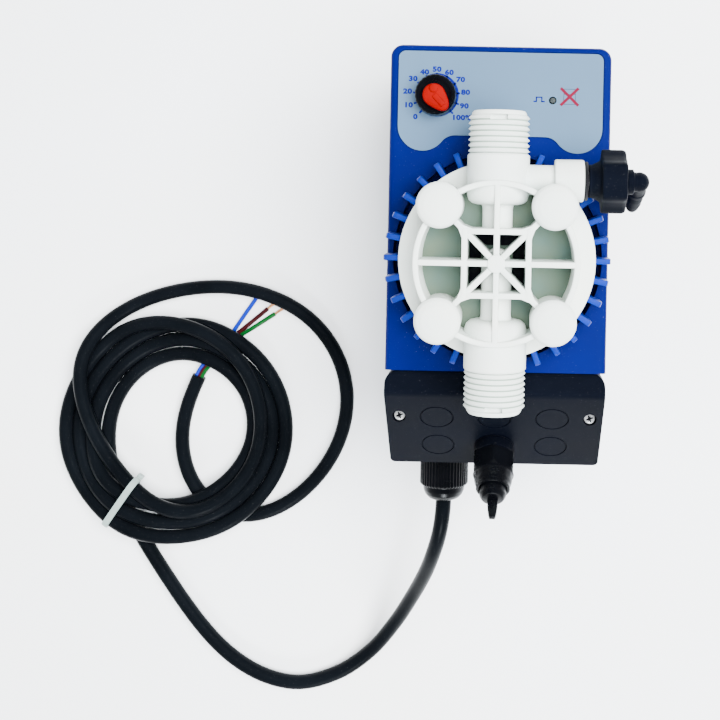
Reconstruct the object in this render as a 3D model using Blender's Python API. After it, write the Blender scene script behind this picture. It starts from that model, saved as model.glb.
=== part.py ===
"""Solenoid-driven diaphragm dosing pump, lying on its back with its mains lead coiled beside it.

Frame: +Z points out of the pump's front, +Y to its top and +X to the side of its priming knob.
The origin is the centre of the wall bracket's rear face, so the table is the plane z = 0.
All dimensions below are millimetres; they become metres when an object is made.
"""
import math

import bmesh
import bpy
from mathutils import Matrix, Vector

MM = 0.001
GAP = 0.3                       # clearance between pieces that touch

# Housing
WIDTH, HEIGHT = 107.0, 210.6
FRONT = 140.0                   # height of the housing's front face above the wall
CORNER = 6.0
WALL = 3.0
BRACKET_THICK, COVER_THICK = 4.0, 6.0
SPLIT_Y = -52.2                 # the terminal compartment lies below this line
LEDGE = 56.0                    # floor of the terminal compartment

# Pump axis and the solenoid behind it
HUB_Y = 3.1
WELL_R, WELL_DEPTH = 50.5, 13.0
FIN_COUNT, FIN_TIP_R, FIN_THICK, FIN_TOP = 32, 53.5, 3.4, 15.4
CARRIER_IN, CARRIER_OUT = 31.5, 41.0
SOLENOID_R = 31.0
STROKE_GAP = 2.5

# Pump head
FLANGE_R, FLANGE_LOW, FLANGE_TOP = 46.0, 16.3, 20.0
RING_OUT, RING_IN, RING_TOP = 37.2, 34.6, 45.0
POCKET_FLOOR = 23.5
RIB = 2.6
WEB_LOW = 27.0                  # the ribs inside the square window stop above its floor
SQUARE = 14.25                  # centre line of the square rib frame
BOLT_OFFSET, BOSS_R = 25.6, 10.2
PORT_H = 30.0                   # height of the port axis above the housing front
COLLAR_R, COLLAR_END, PORT_END = 14.2, 49.0, 68.5
THREAD_R, THREAD_ROOT, THREAD_PITCH = 13.95, 12.6, 2.5
PORT_BORE, DUCT_R, CHANNEL_R = 8.6, 6.9, 2.6
BOSS_CORE_R = 6.2               # the round core behind the middle of the grid
PRIMING_Y = HUB_Y + 37.5
BALL_R, BALL_REST = 3.2, 11.4    # a check valve's ball and its height above the seat's foot
ARM_R, BLOCK_R, BLOCK_START, BLOCK_END = 6.9, 9.6, 25.5, 38.9

# Controls
DIAL = (-31.0, 80.6)
LAMP = (25.2, 79.5)

# Terminal cover
COVER_X = 53.3
COVER_TOP_Y = SPLIT_Y - GAP
RIDGE = (-63.2, FRONT + 3.0)
SLOPE = math.radians(42.0)
SLOPE_LENGTH = 56.8
ROW_1, ROW_2 = 0.315 * SLOPE_LENGTH, 0.72 * SLOPE_LENGTH
SCREW_X = 46.0
MAINS = (-27.0, 80.0)           # x and z of the mains gland's axis

# Mains lead
CORD_R = 4.2
COIL_CENTRE = (-194.0, -109.4)
COIL_IN, COIL_OUT, COIL_LOW, COIL_TOP = 41.5, 68.5, 1.9, 22.0
TIE_ANGLE = math.radians(226.0)

FINISHES = {                    # base colour, roughness, metallic
    "blue_plastic": ((0.012, 0.07, 0.50), 0.42, 0.0),
    "black_plastic": ((0.012, 0.013, 0.017), 0.5, 0.0),
    "white_plastic": ((0.83, 0.86, 0.82), 0.42, 0.0),
    "label_film": ((0.40, 0.49, 0.58), 0.5, 0.0),
    "red_plastic": ((0.75, 0.02, 0.01), 0.35, 0.0),
    "lamp_lens": ((0.30, 0.31, 0.31), 0.25, 0.0),
    "steel": ((0.62, 0.62, 0.63), 0.3, 1.0),
    "copper": ((0.72, 0.33, 0.17), 0.35, 1.0),
    "board": ((0.02, 0.17, 0.07), 0.55, 0.0),
    "rubber": ((0.02, 0.02, 0.02), 0.7, 0.0),
    "ptfe": ((0.86, 0.86, 0.84), 0.55, 0.0),
    "ceramic": ((0.88, 0.86, 0.80), 0.2, 0.0),
    "cord_jacket": ((0.010, 0.010, 0.012), 0.32, 0.0),
    "tie_nylon": ((0.72, 0.76, 0.74), 0.45, 0.0),
    "blue_wire": ((0.01, 0.10, 0.62), 0.4, 0.0),
    "brown_wire": ((0.22, 0.05, 0.03), 0.4, 0.0),
    "green_wire": ((0.02, 0.33, 0.08), 0.4, 0.0),
}


def clear_scene():
    for old in list(bpy.data.objects):
        bpy.data.objects.remove(old, do_unlink=True)


def make_materials():
    materials = {}
    for name, (colour, roughness, metallic) in FINISHES.items():
        material = bpy.data.materials.new(name)
        material.use_nodes = True
        shader = material.node_tree.nodes["Principled BSDF"]
        shader.inputs["Base Color"].default_value = (*colour, 1.0)
        shader.inputs["Roughness"].default_value = roughness
        shader.inputs["Metallic"].default_value = metallic
        materials[name] = material
    return materials


clear_scene()
MATERIALS = make_materials()


# ---------------------------------------------------------------- building blocks

def make(name, bm, finish, origin=(0.0, 0.0, 0.0), parent=None):
    """Turn a closed mesh in world millimetres into a named object with the given origin."""
    bmesh.ops.recalc_face_normals(bm, faces=bm.faces[:])
    bmesh.ops.translate(bm, verts=bm.verts[:], vec=-Vector(origin))
    bmesh.ops.scale(bm, verts=bm.verts[:], vec=(MM, MM, MM))
    mesh = bpy.data.meshes.new(name)
    bm.to_mesh(mesh)
    bm.free()
    mesh.materials.append(MATERIALS[finish])
    obj = bpy.data.objects.new(name, mesh)
    obj.location = Vector(origin) * MM
    bpy.context.scene.collection.objects.link(obj)
    if parent is not None:
        obj.location = obj.location - parent.location
        obj.parent = parent
    shade(obj)
    return obj


def shade(obj):
    obj.data.shade_smooth()
    obj.data.set_sharp_from_angle(angle=math.radians(35.0))


def tidy_mesh(mesh):
    """Merge doubled points and flat neighbouring faces that a join or a cut leaves."""
    bm = bmesh.new()
    bm.from_mesh(mesh)
    bmesh.ops.remove_doubles(bm, verts=bm.verts[:], dist=0.002 * MM)
    bmesh.ops.dissolve_limit(bm, angle_limit=math.radians(0.05), verts=bm.verts[:],
                             edges=bm.edges[:])
    bm.to_mesh(mesh)
    bm.free()


def combine(obj, operation, bm):
    """Join, cut or trim an object with a closed mesh given in world millimetres."""
    tool = make(obj.name + "_tool", bm, "steel")
    bpy.context.view_layer.update()
    modifier = obj.modifiers.new("shape", "BOOLEAN")
    modifier.operation = operation
    modifier.solver = "EXACT"
    modifier.object = tool
    depsgraph = bpy.context.evaluated_depsgraph_get()
    result = bpy.data.meshes.new_from_object(obj.evaluated_get(depsgraph))
    obj.modifiers.clear()
    obj.data = result
    result.name = obj.name
    tidy_mesh(result)
    bpy.data.objects.remove(tool, do_unlink=True)
    shade(obj)
    return obj


def join(obj, *meshes):
    for bm in meshes:
        combine(obj, "UNION", bm)
    return obj


def cut(obj, *meshes):
    for bm in meshes:
        combine(obj, "DIFFERENCE", bm)
    return obj


def pivot(name, location):
    """An empty on a joint's axis, which its moving pieces hang from."""
    empty = bpy.data.objects.new(name, None)
    empty.location = Vector(location) * MM
    bpy.context.scene.collection.objects.link(empty)
    return empty


def merge(meshes):
    """Put several separate closed meshes into one, for use as a single tool."""
    merged = bmesh.new()
    for bm in meshes:
        scratch = bpy.data.meshes.new("scratch")
        bm.to_mesh(scratch)
        bm.free()
        merged.from_mesh(scratch)
        bpy.data.meshes.remove(scratch)
    return merged


def place(bm, centre, direction):
    """Stand a mesh made along +Z at a centre, with +Z turned to a direction."""
    turn = Vector((0, 0, 1)).rotation_difference(Vector(direction)).to_matrix().to_4x4()
    bmesh.ops.transform(bm, matrix=Matrix.Translation(Vector(centre)) @ turn, verts=bm.verts[:])
    return bm


def turned(profile, centre=(0, 0, 0), direction=(0, 0, 1), steps=32, phase=0.0):
    """Turn a closed profile of (radius, distance along the axis) points a full circle."""
    bm = bmesh.new()
    angles = [phase + 2 * math.pi * step / steps for step in range(steps)]
    rings = []
    for radius, along in profile:
        if radius < 1e-6:
            rings.append([bm.verts.new((0, 0, along))])
        else:
            rings.append([bm.verts.new((radius * math.cos(a), radius * math.sin(a), along))
                          for a in angles])
    for ring, following in zip(rings, rings[1:] + rings[:1]):
        for step in range(steps):
            after = (step + 1) % steps
            if len(ring) == 1 and len(following) == 1:
                break
            if len(ring) == 1:
                bm.faces.new((ring[0], following[step], following[after]))
            elif len(following) == 1:
                bm.faces.new((ring[step], following[0], ring[after]))
            else:
                bm.faces.new((ring[step], following[step], following[after], ring[after]))
    return place(bm, centre, direction)


def rod(radius, low, high, centre=(0, 0, 0), direction=(0, 0, 1), steps=24, phase=0.0):
    bm = bmesh.new()
    angles = [phase + 2 * math.pi * step / steps for step in range(steps)]
    bottom = [bm.verts.new((radius * math.cos(a), radius * math.sin(a), low)) for a in angles]
    top = [bm.verts.new((radius * math.cos(a), radius * math.sin(a), high)) for a in angles]
    close_sides(bm, bottom, top)
    return place(bm, centre, direction)


def close_sides(bm, bottom, top):
    bm.faces.new(list(reversed(bottom)))
    bm.faces.new(top)
    count = len(bottom)
    for index in range(count):
        after = (index + 1) % count
        bm.faces.new((bottom[index], bottom[after], top[after], top[index]))


def tube_ring(inner, outer, low, high, centre=(0, 0, 0), direction=(0, 0, 1), steps=32):
    profile = [(outer, high), (outer, low), (inner, low), (inner, high)]
    return turned(profile, centre, direction, steps)


def prism(outline, low, high, centre=(0, 0, 0), direction=(0, 0, 1)):
    bm = bmesh.new()
    bottom = [bm.verts.new((x, y, low)) for x, y in outline]
    top = [bm.verts.new((x, y, high)) for x, y in outline]
    close_sides(bm, bottom, top)
    return place(bm, centre, direction)


def side_prism(outline, low_x, high_x):
    """Extrude an outline of (y, z) points along X."""
    bm = bmesh.new()
    left = [bm.verts.new((low_x, y, z)) for y, z in outline]
    right = [bm.verts.new((high_x, y, z)) for y, z in outline]
    close_sides(bm, left, right)
    return bm


def box(x0, x1, y0, y1, z0, z1):
    return prism([(x0, y0), (x1, y0), (x1, y1), (x0, y1)], z0, z1)


def arc(centre, radius, start, end, steps):
    """Points on an arc, angles in degrees, both ends included."""
    points = []
    for step in range(steps + 1):
        angle = math.radians(start + (end - start) * step / steps)
        points.append((centre[0] + radius * math.cos(angle),
                       centre[1] + radius * math.sin(angle)))
    return points


def rounded(x0, x1, y0, y1, radius, top_radius=None, steps=4):
    """A rectangle's outline with rounded corners; the top pair may have their own radius."""
    top = radius if top_radius is None else top_radius
    return (arc((x1 - radius, y0 + radius), radius, -90, 0, steps)
            + arc((x1 - top, y1 - top), top, 0, 90, steps)
            + arc((x0 + top, y1 - top), top, 90, 180, steps)
            + arc((x0 + radius, y0 + radius), radius, 180, 270, steps))


def smooth_route(points, spacing):
    """A smooth curve through the given points, read at an even spacing."""
    points = [Vector(point) for point in points]
    padded = [2 * points[0] - points[1]] + points + [2 * points[-1] - points[-2]]
    fine = []
    for a, b, c, d in zip(padded, padded[1:], padded[2:], padded[3:]):
        for step in range(24):
            t = step / 24
            fine.append(0.5 * (2 * b + (c - a) * t + (2 * a - 5 * b + 4 * c - d) * t * t
                               + (3 * b - a - 3 * c + d) * t ** 3))
    fine.append(points[-1])
    lengths = [0.0]
    for before, after in zip(fine, fine[1:]):
        lengths.append(lengths[-1] + (after - before).length)
    count = max(2, round(lengths[-1] / spacing))
    route, index = [], 0
    for step in range(count + 1):
        target = lengths[-1] * step / count
        while index < len(lengths) - 2 and lengths[index + 1] < target:
            index += 1
        span = lengths[index + 1] - lengths[index]
        share = 0.0 if span == 0 else (target - lengths[index]) / span
        route.append(fine[index].lerp(fine[index + 1], min(1.0, share)))
    return route


def cable(name, points, radius, finish, spacing, resolution=2):
    """A round cable as a bevelled curve with filled ends."""
    curve = bpy.data.curves.new(name, "CURVE")
    curve.dimensions = "3D"
    curve.bevel_depth = radius * MM
    curve.bevel_resolution = resolution
    curve.use_fill_caps = True
    curve.resolution_u = 1
    curve.render_resolution_u = 0
    spline = curve.splines.new("POLY")
    route = smooth_route(points, spacing)
    spline.points.add(len(route) - 1)
    for point, place_at in zip(spline.points, route):
        point.co = (*(place_at * MM), 1.0)
    curve.materials.append(MATERIALS[finish])
    obj = bpy.data.objects.new(name, curve)
    bpy.context.scene.collection.objects.link(obj)
    return obj


# ---------------------------------------------------------------- housing and controls

def hub(height):
    return (0.0, HUB_Y, FRONT + height)


def slope_point(x, along):
    """A point on the terminal cover's sloping face, measured down from its ridge."""
    return Vector((x, RIDGE[0] - along * math.cos(SLOPE), RIDGE[1] - along * math.sin(SLOPE)))


SLOPE_NORMAL = Vector((0.0, -math.sin(SLOPE), math.cos(SLOPE)))


def panel_outline(grow):
    """The label's outline: rounded top corners and two lobes below a raised middle edge."""
    side, top, lobe_x, lobe_y, lobe_r = 49.5, 102.3, 37.5, 66.0, 12.0
    middle, fillet, corner = 61.7, 8.0, 3.5
    fillet_y = middle - fillet
    reach = math.sqrt((lobe_r + fillet) ** 2 - (lobe_y - fillet_y) ** 2)
    lean = math.degrees(math.atan2(fillet_y - lobe_y, reach))
    right = arc((lobe_x, lobe_y), lobe_r + grow, -180 - lean, 0, 10)
    right += arc((side - corner, top - corner), corner + grow, 0, 90, 3)
    fillet_right = arc((lobe_x - reach, fillet_y), fillet - grow, 90, -lean, 5)
    right = fillet_right + right[1:]
    left = [(-x, y) for x, y in reversed(right)]
    return right + left


def build_wall_bracket():
    bracket = make("wall_bracket", prism(rounded(-48, 48, -99, 99, 6), 0, BRACKET_THICK),
                   "black_plastic")
    holes = [rod(2.75, -1, BRACKET_THICK + 1, (x, y, 0), steps=16)
             for x in (-25, 25) for y in (-62.7, 62.7)]
    cut(bracket, merge(holes))


def build_back_cover():
    low = BRACKET_THICK + GAP
    outline = rounded(-WIDTH / 2, WIDTH / 2, -HEIGHT / 2, HEIGHT / 2, CORNER)
    make("back_cover", prism(outline, low, low + COVER_THICK), "black_plastic")


def build_housing():
    low = BRACKET_THICK + COVER_THICK + 2 * GAP
    half_x, half_y = WIDTH / 2, HEIGHT / 2
    outline = rounded(-half_x, half_x, -half_y, half_y, CORNER)
    housing = make("housing", prism(outline, low, FRONT), "blue_plastic")
    well_floor = FRONT - WELL_DEPTH
    in_x, in_y = half_x - WALL, half_y - WALL
    cut(housing, box(-60, 60, -120, SPLIT_Y, LEDGE, FRONT + 10))
    inside = [(-in_y, 0), (in_y, 0), (in_y, FRONT - WALL), (57.5, FRONT - WALL),
              (57.5, well_floor - WALL), (SPLIT_Y + WALL, well_floor - WALL),
              (SPLIT_Y + WALL, LEDGE - WALL), (-in_y, LEDGE - WALL)]
    cut(housing, side_prism(inside, -in_x, in_x))
    cut(housing, rod(WELL_R, well_floor, FRONT + 5, (0, HUB_Y, 0), steps=40))
    cut(housing, rod(34.5, well_floor - 5, FRONT, (0, HUB_Y, 0), steps=32))
    cut(housing, prism(panel_outline(0.4), FRONT - 1.2, FRONT + 5))
    cut(housing, rod(4.5, FRONT - 8, FRONT + 5, (*DIAL, 0), steps=16))
    cut(housing, rod(1.9, FRONT - 8, FRONT + 5, (*LAMP, 0), steps=12))
    cut(housing, box(-12, 12, SPLIT_Y - 5, SPLIT_Y + 8, 88, 100))
    post_y = slope_point(0, ROW_1).y
    for x in (-SCREW_X, SCREW_X):
        join(housing, rod(3.4, LEDGE - 1, FRONT - 24, (x, post_y, 0), steps=16))
        cut(housing, rod(1.8, LEDGE + 20, FRONT - 20, (x, post_y, 0), steps=12))


def build_label_and_lamp():
    panel = make("label_panel", prism(panel_outline(0.0), FRONT - 0.9, FRONT - 0.2),
                 "label_film")
    cut(panel, rod(4.5, FRONT - 5, FRONT + 5, (*DIAL, 0), steps=16))
    cut(panel, rod(1.9, FRONT - 5, FRONT + 5, (*LAMP, 0), steps=12))
    lens = [(0, FRONT + 0.6), (1.1, FRONT + 0.3), (1.5, FRONT - 0.4), (1.5, FRONT - 12),
            (0, FRONT - 12)]
    make("indicator_lamp", turned(lens, (*LAMP, 0), steps=12), "lamp_lens")


def teardrop_outline(radius, tip, angle):
    """A round disc drawn out to a point at the given angle in degrees."""
    spread = math.degrees(math.acos(radius / tip))
    points = arc((0, 0), radius, angle + spread, angle + 360 - spread, 12)
    reach = math.radians(angle)
    points.append((tip * math.cos(reach), tip * math.sin(reach)))
    return [(DIAL[0] + x, DIAL[1] + y) for x, y in points]


def build_dial():
    axis = pivot("dial_axis", (*DIAL, FRONT))
    at = (*DIAL, FRONT)
    knob = [(0, 11.0), (8.4, 11.0), (9.2, 10.2), (9.5, 0.4), (5.5, 0.4), (5.5, 4.0),
            (3.4, 4.0), (3.4, 8.6), (0, 8.6)]
    make("dial_knob", turned(knob, at, steps=22), "black_plastic", at, axis)
    make("dial_pointer", prism(teardrop_outline(5.6, 8.6, -45), FRONT + 11.3, FRONT + 13.4),
         "red_plastic", at, axis)
    make("dial_shaft", rod(3.0, -11.6, 8.2, at, steps=16), "steel", at, axis)
    make("potentiometer", turned([(0, -12.0), (3.2, -12.0), (8.0, -12.0), (8.0, -21.0),
                                  (0, -21.0)], at, steps=20), "black_plastic")
    make("circuit_board", box(-46, 46, 60, 100, FRONT - 23, FRONT - 21.4), "board")


# ---------------------------------------------------------------- solenoid drive

def build_cooling_ring():
    floor = GAP - WELL_DEPTH
    ring = make("cooling_ring", tube_ring(CARRIER_IN, CARRIER_OUT, floor, FIN_TOP, hub(0), steps=32),
                "blue_plastic")
    profile = [(CARRIER_OUT - 1.5, floor), (WELL_R - GAP, floor), (WELL_R - GAP, GAP),
               (FIN_TIP_R - 0.8, GAP), (FIN_TIP_R, 1.2), (FIN_TIP_R, FIN_TOP - 1.2),
               (FIN_TIP_R - 1.2, FIN_TOP), (CARRIER_OUT - 1.5, FIN_TOP)]
    fins = []
    for index in range(FIN_COUNT):
        fin = side_prism([(r, h) for r, h in profile], -FIN_THICK / 2, FIN_THICK / 2)
        turn = Matrix.Rotation(2 * math.pi * index / FIN_COUNT, 4, "Z")
        bmesh.ops.transform(fin, matrix=Matrix.Translation(hub(0)) @ turn, verts=fin.verts[:])
        fins.append(fin)
    join(ring, merge(fins))
    cut(ring, merge([rod(2.8, 0, FIN_TOP + 1, hub_corner(*corner, 0), steps=12)
                     for corner in CORNERS]))


CORNERS = ((-1, 1), (1, 1), (-1, -1), (1, -1))


def hub_corner(side_x, side_y, height):
    return (side_x * BOLT_OFFSET, HUB_Y + side_y * BOLT_OFFSET, FRONT + height)


def build_solenoid():
    can = [(SOLENOID_R, 3), (SOLENOID_R, -60), (0, -60), (0, -55), (28, -55), (28, -1),
           (12.2, -1), (12.2, 3)]
    make("solenoid_can", turned(can, hub(0), steps=28), "steel")
    pole = [(11.9, 3), (11.9, -10), (4.7, -10), (4.7, 3)]
    make("solenoid_pole", turned(pole, hub(0), steps=20), "steel")
    bobbin = [(27.5, -1.4), (27.5, -3.4), (13.6, -3.4), (13.6, -52.4), (27.5, -52.4),
              (27.5, -54.6), (12.3, -54.6), (12.3, -1.4)]
    make("coil_bobbin", turned(bobbin, hub(0), steps=22), "black_plastic")
    make("coil_winding", tube_ring(13.9, 26.5, -52.1, -3.7, hub(0), steps=22), "copper")


def build_plunger():
    axis = pivot("plunger_axis", hub(0))
    at = hub(0)
    front = -10.0 - STROKE_GAP
    armature = [(11.9, front), (11.9, -45), (0, -45), (0, -20.5), (8.5, -20.5), (8.5, front)]
    make("armature", turned(armature, at, steps=20), "steel", at, axis)
    make("push_rod", rod(4.0, -20.2, 12.7, at, steps=14), "steel", at, axis)
    disc = [(0, 15.8), (24.4, 15.8), (25.4, 14.7), (29.6, 14.7), (29.0, 13.3), (8.0, 13.3),
            (8.0, 13.0), (0, 13.0)]
    make("diaphragm", turned(disc, at, steps=28), "ptfe", at, axis)
    make("diaphragm_support", tube_ring(5.2, 30.8, 6.5, 12.4, at, steps=24), "black_plastic")
    coil = []
    turns, wire, coil_r, low, high = 4, 0.6, 6.6, -19.6, -10.95
    for step in range(turns * 8 + 1):
        angle = 2 * math.pi * step / 8
        coil.append((coil_r * math.cos(angle), HUB_Y + coil_r * math.sin(angle),
                     FRONT + low + (high - low) * step / (turns * 8)))
    spring = bpy.data.curves.new("return_spring", "CURVE")
    spring.dimensions = "3D"
    spring.bevel_depth = wire * MM
    spring.bevel_resolution = 0
    spring.use_fill_caps = True
    spring.resolution_u = 1
    spline = spring.splines.new("POLY")
    spline.points.add(len(coil) - 1)
    for point, place_at in zip(spline.points, coil):
        point.co = (*(Vector(place_at) * MM), 1.0)
    spring.materials.append(MATERIALS["steel"])
    obj = bpy.data.objects.new("return_spring", spring)
    bpy.context.scene.collection.objects.link(obj)


# ---------------------------------------------------------------- pump head

def port_mesh(side):
    """One port: a plain collar and a threaded end, turned about the port axis."""
    profile = [(0, 26.0), (9.5, 26.0), (12.6, 27.4), (COLLAR_R, 31.0), (COLLAR_R, COLLAR_END - 1),
               (THREAD_ROOT, COLLAR_END)]
    along = COLLAR_END
    while along + THREAD_PITCH < PORT_END - 1.0:
        profile.append((THREAD_R, along + 0.5 * THREAD_PITCH))
        along += THREAD_PITCH
        profile.append((THREAD_ROOT, along))
    profile += [(THREAD_ROOT, PORT_END - 0.8), (11.6, PORT_END), (0, PORT_END)]
    return turned(profile, hub(PORT_H), (0, side, 0), steps=18)


def cross_rib(along_x, start, end, low, top):
    """A rib on the head's horizontal or vertical centre line, heights above the front."""
    half = RIB / 2
    if along_x:
        return box(start, end, HUB_Y - half, HUB_Y + half, FRONT + low, FRONT + top)
    return box(-half, half, HUB_Y + start, HUB_Y + end, FRONT + low, FRONT + top)


def diagonal_rib(angle, start, end, low, top):
    turn = Matrix.Rotation(math.radians(angle), 2)
    corners = ((start, -RIB / 2), (end, -RIB / 2), (end, RIB / 2), (start, RIB / 2))
    return prism([tuple(turn @ Vector(corner)) for corner in corners], low, top, hub(0))


def add_grid(head):
    """The ribs: a cross over the whole window, a square frame in it and an X in the square."""
    floor, inner, outer = POCKET_FLOOR - 1, SQUARE - RIB / 2, SQUARE + RIB / 2
    reach = RING_IN + 1
    step = 0.04                 # each set of ribs stops a little lower, so that no tops coincide
    for along_x, top in ((True, RING_TOP - step), (False, RING_TOP - 2 * step)):
        join(head, merge([cross_rib(along_x, -reach, -inner - 0.5, floor, top),
                          cross_rib(along_x, inner + 0.5, reach, floor, top)]))
    diagonal, top = math.sqrt(2), RING_TOP - 3 * step
    frame = [(outer * diagonal, top), (outer * diagonal, floor), (inner * diagonal, floor),
             (inner * diagonal, top)]
    join(head, turned(frame, hub(0), steps=4, phase=math.pi / 4))
    corner = SQUARE * diagonal
    join(head, merge([diagonal_rib(angle, corner, 30.0, floor, RING_TOP - 4 * step)
                      for angle in (45, 135, 225, 315)]))
    webs = ((True, RING_TOP - 5 * step), (False, RING_TOP - 6 * step))
    for along_x, top in webs:
        join(head, cross_rib(along_x, -inner - 0.7, inner + 0.7, WEB_LOW, top))
    for angle, top in ((45, RING_TOP - 7 * step), (135, RING_TOP - 8 * step)):
        join(head, diagonal_rib(angle, -corner - 0.5, corner + 0.5, WEB_LOW - 0.1, top))
    join(head, rod(3.7, WEB_LOW - 0.2, RING_TOP + 0.4, hub(0), steps=16))
    join(head, rod(BOSS_CORE_R, floor - 0.3, PORT_H + 1.3, hub(0), steps=12, phase=0.11))


def build_pump_head():
    body = [(FLANGE_R, FLANGE_TOP), (FLANGE_R, FLANGE_LOW), (30.2, FLANGE_LOW), (30.2, 18.4),
            (0, 18.4), (0, POCKET_FLOOR), (RING_IN, POCKET_FLOOR), (RING_IN, RING_TOP),
            (RING_OUT, RING_TOP), (RING_OUT, FLANGE_TOP)]
    head = make("pump_head", turned(body, hub(0), steps=36), "white_plastic")
    add_grid(head)
    for side in (1, -1):
        join(head, port_mesh(side))
        end = 0.6 if side < 0 else SQUARE
        join(head, rod(DUCT_R, end, 30.0, hub(PORT_H), (0, side, 0), steps=14))
    join(head, rod(ARM_R, 0.0, BLOCK_START + 1, (0, PRIMING_Y, FRONT + PORT_H), (1, 0, 0),
                   steps=14))
    block = [(0, BLOCK_START), (BLOCK_R - 0.6, BLOCK_START), (BLOCK_R, BLOCK_START + 0.6),
             (BLOCK_R, BLOCK_END - 0.6), (BLOCK_R - 0.6, BLOCK_END), (0, BLOCK_END)]
    join(head, turned(block, (0, PRIMING_Y, FRONT + PORT_H), (1, 0, 0), steps=18))
    for corner in CORNERS:
        join(head, rod(BOSS_R, FLANGE_LOW + 0.01, RING_TOP - 0.4, hub_corner(*corner, 0), steps=14))
    for corner in CORNERS:
        bore = [(0, RING_TOP + 5), (5.2, RING_TOP + 5), (5.2, 22.0), (2.8, 22.0), (2.8, 10.0),
                (0, 10.0)]
        cut(head, turned(bore, hub_corner(*corner, 0), steps=10))
    for side, passage in ((1, 17.0), (-1, 9.0)):
        bore = [(0, PORT_END + 5), (PORT_BORE, PORT_END + 5), (PORT_BORE, 38.0), (CHANNEL_R, 36.0),
                (CHANNEL_R, passage - 2), (0, passage - 2)]
        cut(head, turned(bore, hub(PORT_H), (0, side, 0), steps=12, phase=0.1))
        cut(head, rod(2.2, 15.0, PORT_H - 0.4, (0, HUB_Y + side * passage, FRONT), steps=8,
                      phase=0.13))
    stem_bore = [(0, BLOCK_END + 5), (5.0, BLOCK_END + 5), (5.0, 22.0), (1.8, 20.0), (1.8, 0),
                 (0, 0)]
    cut(head, turned(stem_bore, (0, PRIMING_Y, FRONT + PORT_H), (1, 0, 0), steps=12, phase=0.07))
    for side in (1, -1):
        low, high = sorted((HUB_Y + side * (PORT_END - 4.4), HUB_Y + side * (PORT_END - 2.0)))
        cut(head, box(-3.5, 3.5, low, high, FRONT + PORT_H + 11.0, FRONT + PORT_H + 20))


def build_head_insert():
    """The black plate on the floor of the square window, open for the lower duct."""
    half, slot = 12.6, DUCT_R + 0.4
    outline = [(-half, -half), (-slot, -half), (-slot, slot), (slot, slot), (slot, -half),
               (half, -half), (half, half), (-half, half)]
    make("head_insert", prism(outline, POCKET_FLOOR + GAP, POCKET_FLOOR + 1.6, hub(0)),
         "black_plastic")


def build_fasteners():
    under = RING_TOP + GAP
    cap = [(0, 48.4), (6.0, 48.3), (9.4, 47.8), (BOSS_R + 0.25, 46.8), (BOSS_R + 0.25, under),
           (4.9, under), (4.9, 40.0), (0, 40.0)]
    screw = [(0, 24.6), (1.6, 24.6), (2.3, 27.3), (4.25, 27.3), (4.25, 22.3), (2.5, 22.3),
             (2.5, 2.0), (0, 2.0)]
    for number, corner in enumerate(CORNERS, start=1):
        at = hub_corner(*corner, 0)
        make(f"screw_cap_{number}", turned(cap, at, steps=18), "white_plastic", at)
        make(f"head_screw_{number}", turned(screw, at, steps=10), "steel", at)


def build_valves():
    """Ball check valves: in both, the liquid lifts the ball towards +Y off its seat."""
    up = (0, 1, 0)
    for name, seat_y in (("suction", HUB_Y - PORT_END + 5.4), ("discharge", HUB_Y + 41.6)):
        at = (0, seat_y, FRONT + PORT_H)
        seat = [(8.2, 0), (8.2, 10.8), (4.4, 10.8), (2.4, 8.8), (2.4, 0)]
        make(f"{name}_valve_seat", turned(seat, at, up, steps=16), "white_plastic")
        cage = [(8.2, 11.1), (8.2, 21.5), (2.6, 21.5), (2.6, 18.6), (4.2, 17.6), (4.2, 11.1)]
        make(f"{name}_valve_cage", turned(cage, at, up, steps=16), "white_plastic")
        ball_at = (0, seat_y + BALL_REST, FRONT + PORT_H)
        ball = bmesh.new()
        bmesh.ops.create_icosphere(ball, subdivisions=2, radius=BALL_R)
        bmesh.ops.translate(ball, verts=ball.verts[:], vec=ball_at)
        make(f"{name}_ball", ball, "ceramic", ball_at)
        mouth = PORT_END - 1.2 if name == "discharge" else -PORT_END + 1.2
        section = [(7.0 + 0.95 * math.cos(a), 0.95 * math.sin(a))
                   for a in [2 * math.pi * k / 6 for k in range(6)]]
        make(f"{name}_o_ring", turned(section, (0, HUB_Y + mouth, FRONT + PORT_H), up, steps=16),
             "rubber")


# ---------------------------------------------------------------- priming valve

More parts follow.
